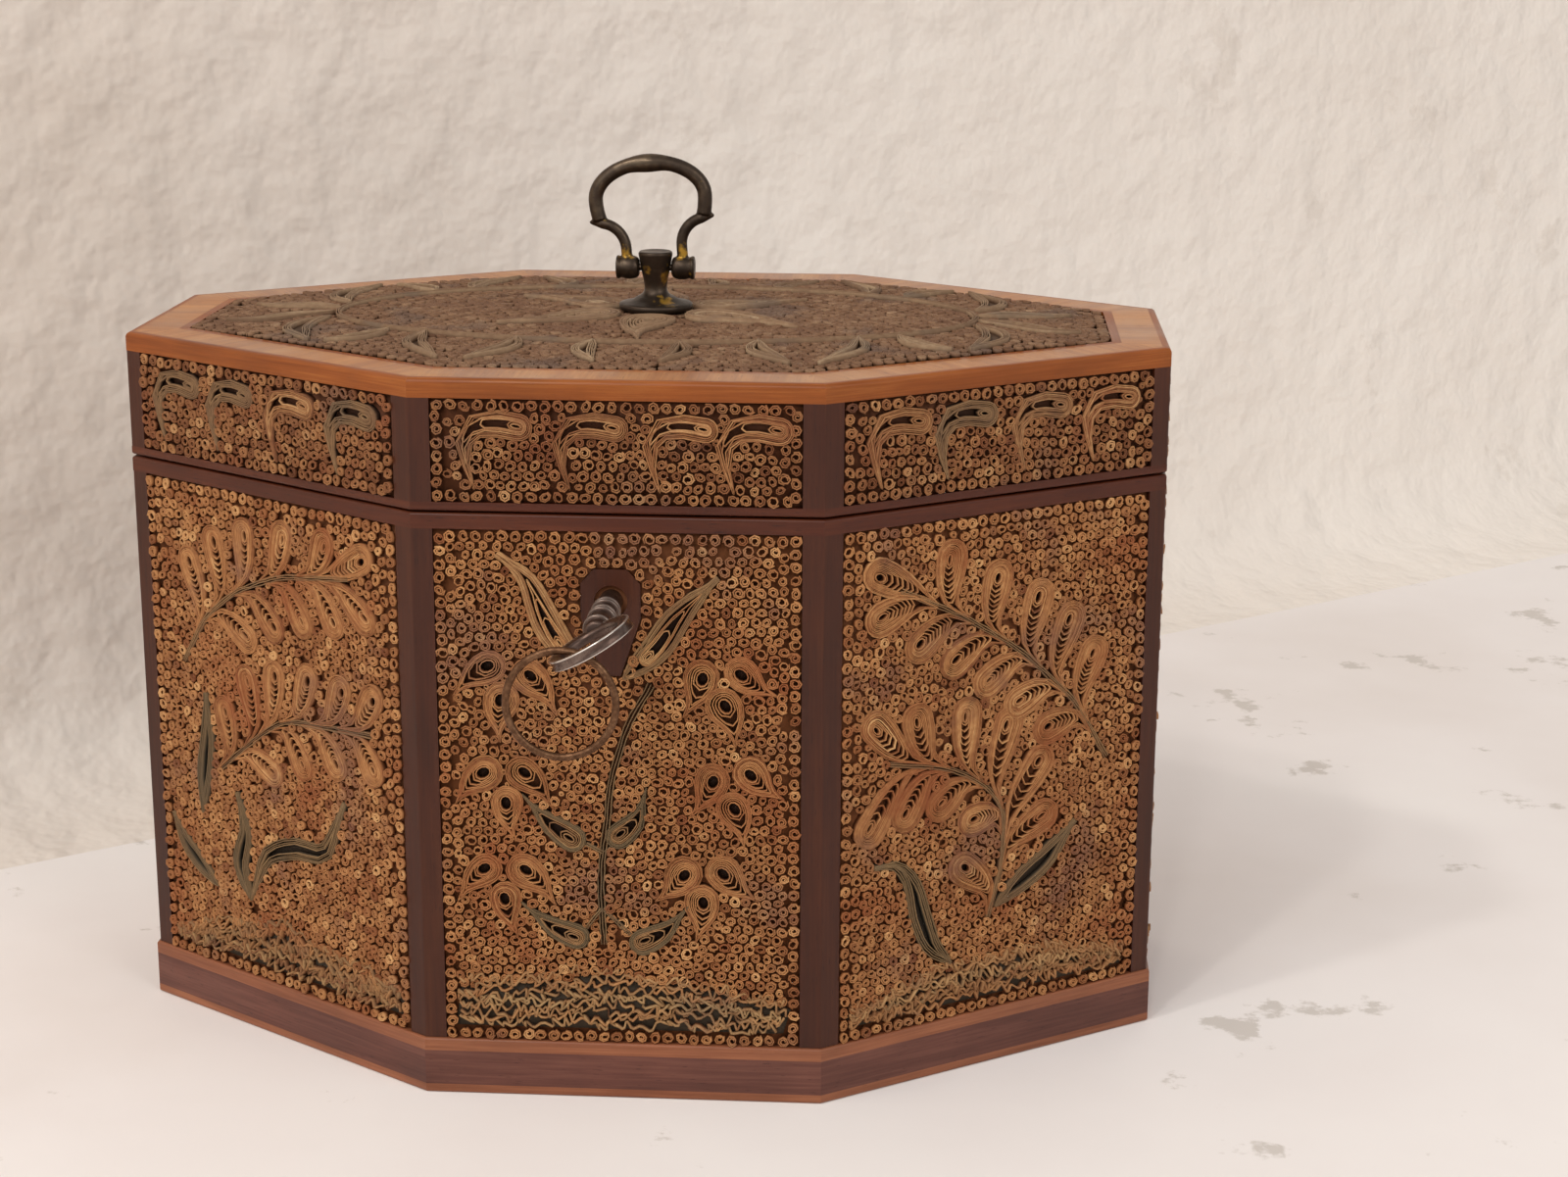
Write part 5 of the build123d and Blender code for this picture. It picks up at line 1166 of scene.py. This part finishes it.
def joined(name, pieces):
    """Joins pieces into one object at the origin."""
    bpy.ops.object.select_all(action="DESELECT")
    for piece in pieces:
        piece.select_set(True)
    bpy.context.view_layer.objects.active = pieces[0]
    bpy.ops.object.join()
    bpy.ops.object.transform_apply(location=True, rotation=True, scale=True)
    pieces[0].name = name
    return pieces[0]


def pick(piece):
    """Leaves one piece selected and active."""
    bpy.ops.object.select_all(action="DESELECT")
    piece.select_set(True)
    bpy.context.view_layer.objects.active = piece


def finish_piece(piece, material, node, body):
    """Gives a modelled piece its material and smooth shading, hides the CAD part it stands for, and puts it
    on its body.
    """
    piece.data.materials.clear()
    piece.data.materials.append(material)
    pick(piece)
    bpy.ops.object.shade_smooth_by_angle(angle=math.radians(50))
    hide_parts(node)
    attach(piece, body)


key_x_mm, key_z_mm, bow_y_mm, bit_y_mm = -1.1, 86.6, -83.8, -53.72
collar = [(1.9, 0.0), (2.2, 0.05), (2.35, 0.22), (2.38, 0.4), (2.35, 0.58), (2.2, 0.75), (1.9, 0.8)]
shank_section = [(0.0, 58.2), (0.65, 58.2), (0.65, 51.82), (1.75, 51.82), (1.9, 52.0)]
for collar_start in (64.82, 66.12, 69.32, 70.62, 75.42):
    shank_section += [(out, collar_start + along) for out, along in collar]
shank_section += [(1.9, 77.8), (1.75, 78.15), (1.4, 78.3), (0.0, 78.3)]
shank = turned("key_shank", shank_section, 48)
# A painted highlight on the collars' outer edges.
mark_edge_highlight(shank, lambda out, up: 0.35 * (out > 2.34 * MM))
on_key_axis = Matrix.Translation((key_x_mm * MM, 0, key_z_mm * MM))
shank.data.transform(on_key_axis @ Matrix.Rotation(math.radians(90), 4, "X"))
rim = [(4.98, 0.25), (5.05, 0.5), (5.25, 0.7), (5.6, 0.82), (6.1, 0.84), (6.6, 0.84), (6.86, 0.9),
       (6.97, 0.88), (7.05, 0.82), (7.1, 0.73), (7.1, 0.64), (7.03, 0.5), (6.97, 0.28)]
bow = turned("key_bow", rim + [(6.95, 0.0)] + [(out, -up) for out, up in rim[::-1]], 120)
# A painted highlight along the bow's two rims.
mark_edge_highlight(bow, lambda out, up: 0.8 * (6.84 * MM < out and abs(up) > 0.7 * MM))
tilt = math.radians(30)
bow.data.transform(Matrix((
    (math.cos(tilt), 0, -math.sin(tilt), key_x_mm * MM), (0, 6.6 / 7.1, 0, bow_y_mm * MM),
    (math.sin(tilt), 0, math.cos(tilt), key_z_mm * MM), (0, 0, 0, 1),
)))
bpy.ops.mesh.primitive_cube_add(size=1.0)
bit = bpy.context.object
bit.data.transform(
    Matrix.Translation((key_x_mm * MM, bit_y_mm * MM, key_z_mm * MM)) @ Matrix.Rotation(-tilt, 4, "Y")
    @ Matrix.Translation((-3.025 * MM, 0, 0)) @ Matrix.Diagonal((4.15 * MM, 1.8 * MM, 1.2 * MM, 1)))
finish_piece(joined("key_turned", [shank, bow, bit]), key_steel, "key", "key")

# Handle.
# Cast and chased bronze: a round foot, a post with a flared head, and a swinging bail on two
# knuckles. It is grey-brown with handling and old lacquer, with gilding left where no hand rubs.

gilt_fleck_mm = 1.111


def gilded_bronze(name, gilt_spots):
    """Satin grey-brown bronze. Gilding is left around the spots: place and reach in millimetres."""
    material = plain_surface(name, ("#362c25", "#463a30", "#5e5041"), 0.38, 0.85, 1.6, 0.02)
    tree = material.node_tree
    shader = tree.nodes["Principled BSDF"]
    place = add_node(tree, "ShaderNodeTexCoord").outputs["Object"]
    noise = add_node(tree, "ShaderNodeTexNoise", {
        "Vector": place, "Scale": 1 / (gilt_fleck_mm * MM), "Detail": 3.0,
    }).outputs["Fac"]
    gilt = 0.0
    for spot, reach in gilt_spots:
        away = add_node(tree, "ShaderNodeVectorMath", {0: place, 1: [v * MM for v in spot]},
                        operation="DISTANCE").outputs["Value"]
        near = add_node(tree, "ShaderNodeMapRange", {
            0: away, 1: 0.0, 2: reach * MM, 3: 0.5, 4: 0.0,
        }).outputs[0]
        gilt = add_node(tree, "ShaderNodeMath", {0: near, 1: gilt}, operation="MAXIMUM").outputs[0]
    level = add_node(tree, "ShaderNodeMath", {0: noise, 1: gilt}, operation="ADD").outputs[0]
    amount = add_node(tree, "ShaderNodeMapRange", {0: level, 1: 0.7, 2: 0.95, 3: 0.0, 4: 0.85}).outputs[0]
    worn = shader.inputs["Base Color"].links[0].from_socket
    colour = add_node(tree, "ShaderNodeMix", {0: amount, 6: worn, 7: "#c79a3a"}, data_type="RGBA").outputs[2]
    tree.links.new(colour, shader.inputs["Base Color"])
    return material


post_low, post_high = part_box("handle_post")
pivot = post_high.z / MM - 2.9  # the bail pin's height in millimetres
post_gilding = [
    ((2.4, -1.4, pivot - 1.4), 2.6), ((2.2, -3.6, pivot - 5.2), 3.0), ((-1.5, -2.4, pivot - 0.4), 1.4),
]
bail_gilding = [
    ((4.9, -1.0, pivot + 2.7), 2.2), ((-4.9, -1.0, pivot + 2.7), 2.2), ((6.2, -1.2, pivot - 0.4), 1.2),
]
# Cast bronze under old brown lacquer: dark and satin, gold in the hollows by the pin and the foot.
post_bronze = gilded_bronze("gilded_bronze_post", post_gilding)
bail_bronze = gilded_bronze("gilded_bronze_bail", bail_gilding)
dress(post_bronze, "handle_washer", "handle_nut")
dress(bail_bronze, "bail_pin")

# Both sections give distances out from the post's axis and up from the pin
spindle_foot = post_low.z / MM - pivot
post = turned("handle_post_turned", [(out, pivot + up) for out, up in (
    (0.0, spindle_foot), (1.2, spindle_foot), (1.2, -5.1), (3.2, -5.1), (2.75, -4.9), (2.35, -4.55),
    (2.1, -4.1), (2.0, -3.5), (2.08, -2.6), (2.3, -1.5), (2.52, -0.5), (2.7, 0.5), (2.88, 1.6),
    (3.02, 2.25), (3.04, 2.5), (2.96, 2.75), (2.75, 2.9), (2.3, 2.8), (0.0, 2.65),
)])
bpy.ops.mesh.primitive_cylinder_add(vertices=32, radius=0.62 * MM, depth=8 * MM, location=(0, 0, pivot * MM),
                                    rotation=(0, math.pi / 2, 0))
bore = bpy.context.object
pick(post)
cut = post.modifiers.new("pin_bore", "BOOLEAN")
cut.operation = "DIFFERENCE"
cut.object = bore
bpy.ops.object.modifier_apply(modifier=cut.name)
bpy.data.objects.remove(bore)
finish_piece(post, post_bronze, "handle_post", "lid")
foot = turned("handle_rosette_turned", [(out, pivot + up) for out, up in (
    (1.2, -7.4), (6.35, -7.4), (6.5, -7.25), (6.52, -6.8), (6.5, -6.4), (6.3, -6.22), (5.6, -6.1),
    (4.6, -5.85), (3.9, -5.55), (3.3, -5.15), (3.2, -5.1), (1.2, -5.1),
)])
finish_piece(foot, post_bronze, "handle_rosette", "lid")


def bar(name, stations):
    """A round bar through stations: x and height over the pin, and radius, in millimetres."""
    curve = bpy.data.curves.new(name, "CURVE")
    curve.dimensions = "3D"
    curve.bevel_depth = MM
    curve.bevel_resolution = 6
    curve.use_fill_caps = True
    line = curve.splines.new("POLY")
    line.points.add(len(stations) - 1)
    for point, (x, up, radius) in zip(line.points, stations):
        point.co = (x * MM, 0.0, (pivot + up) * MM, 1.0)
        point.radius = radius
    piece = bpy.data.objects.new(name, curve)
    bpy.context.scene.collection.objects.link(piece)
    pick(piece)
    bpy.ops.object.convert(target="MESH")
    return bpy.context.object


def arc(x, up, radius, start, end, count, thickness):
    """Stations on an arc about x and up, between two angles in degrees."""
    return [(x + radius * math.cos(a), up + radius * math.sin(a), thickness)
            for a in (math.radians(start + (end - start) * k / (count - 1)) for k in range(count))]


half_loop = arc(-3.6, 12.4, 13.3, -15.0, 0.0, 8, 1.3)[:-1]
for degrees in range(0, 91, 5):
    x, up = 9.7 * math.cos(math.radians(degrees)), 12.4 + 6.2 * math.sin(math.radians(degrees))
    belly = math.cos(math.pi * min(x, 4.4) / 8.8) ** 2
    half_loop.append((x, up - 0.15 * belly, 1.3 + 0.35 * belly))
loop = half_loop + [(-x, up, radius) for x, up, radius in half_loop[-2::-1]]


def leaning(stations):
    """The old bail leans a little to the left on its pin."""
    lean = math.radians(4.0)
    return [(x * math.cos(lean) - up * math.sin(lean), x * math.sin(lean) + up * math.cos(lean), radius)
            for x, up, radius in stations]


bail_parts = [bar("bail_loop", leaning(loop))]
knuckle_section = [(0.6, 2.86), (1.25, 2.88), (1.7, 3.1), (1.98, 3.6), (2.1, 4.3), (2.1, 4.95),
                   (2.05, 5.5), (1.9, 5.95), (1.72, 6.2), (2.0, 6.35), (2.1, 6.6), (2.02, 6.9),
                   (1.8, 6.98), (0.6, 6.95)]
for way in (1, -1):
    neck = [(4.95, 1.0, 0.98)] + arc(9.65, 3.67, 4.7, 180.0, 100.0, 12, 0.98)
    neck += [
        (8.83 + 0.985 * along, 8.3 + 0.174 * along, 0.98 - 0.29 * along) for along in (0.5, 1.0, 1.5, 2.0)
    ]
    neck += [(10.98, 8.68, 0.3), (11.12, 8.7, 0.12)]
    bail_parts.append(bar("bail_neck", leaning([(way * x, up, radius) for x, up, radius in neck])))
    knuckle = turned("bail_knuckle", knuckle_section, 48)
    sideways = Matrix.Rotation(way * math.pi / 2, 4, "Y")
    knuckle.data.transform(Matrix.Translation((0, 0, pivot * MM)) @ sideways)
    bail_parts.append(knuckle)
bail = joined("bail_cast", bail_parts)
remesh = bail.modifiers.new("one_casting", "REMESH")
remesh.mode = "VOXEL"
remesh.voxel_size = 0.16 * MM
bpy.ops.object.modifier_apply(modifier=remesh.name)
soften = bail.modifiers.new("worn_edges", "SMOOTH")
soften.factor = 0.5
soften.iterations = 4
bpy.ops.object.modifier_apply(modifier=soften.name)
finish_piece(bail, bail_bronze, "bail", "bail")

# Floor and backdrop, lamps and camera.
# A pale limewashed bench and wall, lit by a window, the room and three small ceiling lamps. The camera
# stands where the photograph's did.

cloud_mm = 142.9
chip_mm = 38.46


def plaster(name, colours, chip, chips, bump_mm, lumps_mm, drift=0.0):
    """Old limewash: a soft change of tone, lighter to the right as painted light, chips down to grey plaster,
    a lumpy skin.

    It is clear from behind, so that the box's back can be looked at.
    """
    material, tree, shader = new_material(name)
    place = add_node(tree, "ShaderNodeTexCoord").outputs["Object"]
    wide = add_node(tree, "ShaderNodeTexNoise", {
        "Vector": place, "Scale": 1 / (cloud_mm * MM), "Detail": 5.0,
    }).outputs["Fac"]
    colour = add_node(tree, "ShaderNodeValToRGB", {0: wide}, stops=[
        (0.3, colours[0]), (0.7, colours[2]), (0.5, colours[1]),
    ]).outputs[0]
    # Painted light: by drift, the colour turns towards near white further to the right.
    across = add_node(tree, "ShaderNodeSeparateXYZ", {0: place}).outputs[0]
    painted_light = add_node(tree, "ShaderNodeMapRange", {0: across, 1: -0.2, 2: 0.3, 3: 0.0, 4: drift}).outputs[0]
    colour = add_node(tree, "ShaderNodeMix", {0: painted_light, 6: colour, 7: "#fbf4ec"}, data_type="RGBA").outputs[2]
    small = add_node(tree, "ShaderNodeTexNoise", {
        "Vector": place, "Scale": 1 / (chip_mm * MM), "Detail": 8.0, "Roughness": 0.65,
    }).outputs["Fac"]
    flake = add_node(tree, "ShaderNodeMapRange", {0: small, 1: 0.61, 2: 0.64, 3: 0.0, 4: chips}).outputs[0]
    colour = add_node(tree, "ShaderNodeMix", {0: flake, 6: colour, 7: chip}, data_type="RGBA").outputs[2]
    tree.links.new(colour, shader.inputs["Base Color"])
    shader.inputs["Roughness"].default_value = 0.8
    lumps = add_node(tree, "ShaderNodeTexNoise", {"Vector": place, "Scale": 1000 / lumps_mm, "Detail": 3.0})
    bump = add_node(tree, "ShaderNodeBump", {"Height": lumps.outputs["Fac"], "Strength": 0.6,
                                             "Distance": bump_mm * MM})
    tree.links.new(bump.outputs[0], shader.inputs["Normal"])
    from_behind = add_node(tree, "ShaderNodeNewGeometry").outputs["Backfacing"]
    clear = add_node(tree, "ShaderNodeBsdfTransparent").outputs[0]
    seen = add_node(tree, "ShaderNodeMixShader", {0: from_behind, 1: shader.outputs[0], 2: clear})
    tree.links.new(seen.outputs[0], tree.nodes["Material Output"].inputs["Surface"])
    return material


bpy.ops.mesh.primitive_plane_add(size=6.0, location=(0, 0, 0))
floor = bpy.context.object
floor.name = "floor"
# White limewash on a smooth bench, with chips where the grey plaster shows.
bench_tones = ("#e6deda", "#efe9e7", "#f4f0ee")
floor.data.materials.append(plaster("limewashed_bench", bench_tones, "#c4bcb4", 0.7, 0.5, 30.0))
wall_start, wall_end = Vector((-0.155, 0.0776, 0)), Vector((0.1156, 0.290, 0))
run = (wall_end - wall_start).normalized()
behind = Vector((-run.y, run.x, 0))
foot_curve = [(-0.05, -0.001), (-0.03, 0.001), (-0.016, 0.006), (-0.007, 0.014), (-0.002, 0.027),
              (0.0, 0.05), (0.0, 3.0)]
wall_points = [wall_start + run * along + behind * back + Vector((0, 0, up))
               for along in (-3.0, 3.0) for back, up in foot_curve]
steps = len(foot_curve)
wall_mesh = bpy.data.meshes.new("backdrop")
wall_mesh.from_pydata(wall_points, [], [(k, steps + k, steps + k + 1, k + 1) for k in range(steps - 1)])
wall_mesh.polygons.foreach_set("use_smooth", [True] * (steps - 1))
wall = bpy.data.objects.new("backdrop", wall_mesh)
bpy.context.scene.collection.objects.link(wall)
# Cream limewash brushed on a hand-plastered wall: lumpy, with few chips, and lighter to the right as painted
# light.
wall_tones = ("#d3c6ba", "#dfd4ca", "#e9e0d7")
wall_mesh.materials.append(plaster("limewashed_wall", wall_tones, "#c7b9ab", 0.2, 5.0, 14.0, 0.6))

world = bpy.data.worlds.new("soft_room")
bpy.context.scene.world = world
world.use_nodes = True
background = world.node_tree.nodes["Background"]
background.inputs["Color"].default_value = linear("#ffffff")
background.inputs["Strength"].default_value = 0.48

box_middle = Vector((0, 0, 0.06))


def soft_lamp(name, place, size, power, colour):
    """A round lamp that faces the box. Its size is in metres and its power in watts."""
    lamp = bpy.data.lights.new(name, "AREA")
    lamp.shape = "DISK"
    lamp.size = size
    lamp.energy = power
    lamp.color = linear(colour)[:3]
    holder = bpy.data.objects.new(name, lamp)
    holder.location = place
    holder.rotation_mode = "QUATERNION"
    holder.rotation_quaternion = (box_middle - Vector(place)).to_track_quat("-Z", "Y")
    bpy.context.scene.collection.objects.link(holder)


soft_lamp("window_light", (-0.7, -0.9, 0.9), 1.3, 6.4, "#fffdf9")
soft_lamp("room_light", (0.9, -0.8, 0.8), 0.9, 4.6, "#fffaf4")
for lamp_name, lamp_place in (("left", (-0.655, -0.609, 1.294)), ("middle", (-0.421, -0.912, 1.236)),
                              ("front", (-0.119, -1.252, 1.018))):
    soft_lamp(f"ceiling_lamp_{lamp_name}", lamp_place, 0.09, 2.2, "#fffaf2")

camera_place = Vector((53.316, -482.598, 202.059)) * MM
camera_yaw, camera_pitch, camera_roll = -0.0625, 0.2598, 0.0046
forward = Vector((math.sin(camera_yaw) * math.cos(camera_pitch),
                  math.cos(camera_yaw) * math.cos(camera_pitch), -math.sin(camera_pitch)))
level_right = Vector((math.cos(camera_yaw), -math.sin(camera_yaw), 0))
level_up = level_right.cross(forward)
right = level_right * math.cos(camera_roll) + level_up * math.sin(camera_roll)
upwards = level_up * math.cos(camera_roll) - level_right * math.sin(camera_roll)
camera_data = bpy.data.cameras.new("camera")
camera_data.sensor_width = 36.0
camera_data.lens = 62.883  # solved from the photograph, as the camera's place and turn are
camera_data.clip_start = 0.01
camera = bpy.data.objects.new("camera", camera_data)
turn = Matrix((right, upwards, -forward)).transposed()
camera.matrix_world = Matrix.Translation(camera_place) @ turn.to_4x4()
bpy.context.scene.collection.objects.link(camera)
bpy.context.scene.camera = camera
bpy.context.scene.view_settings.view_transform = "Standard"
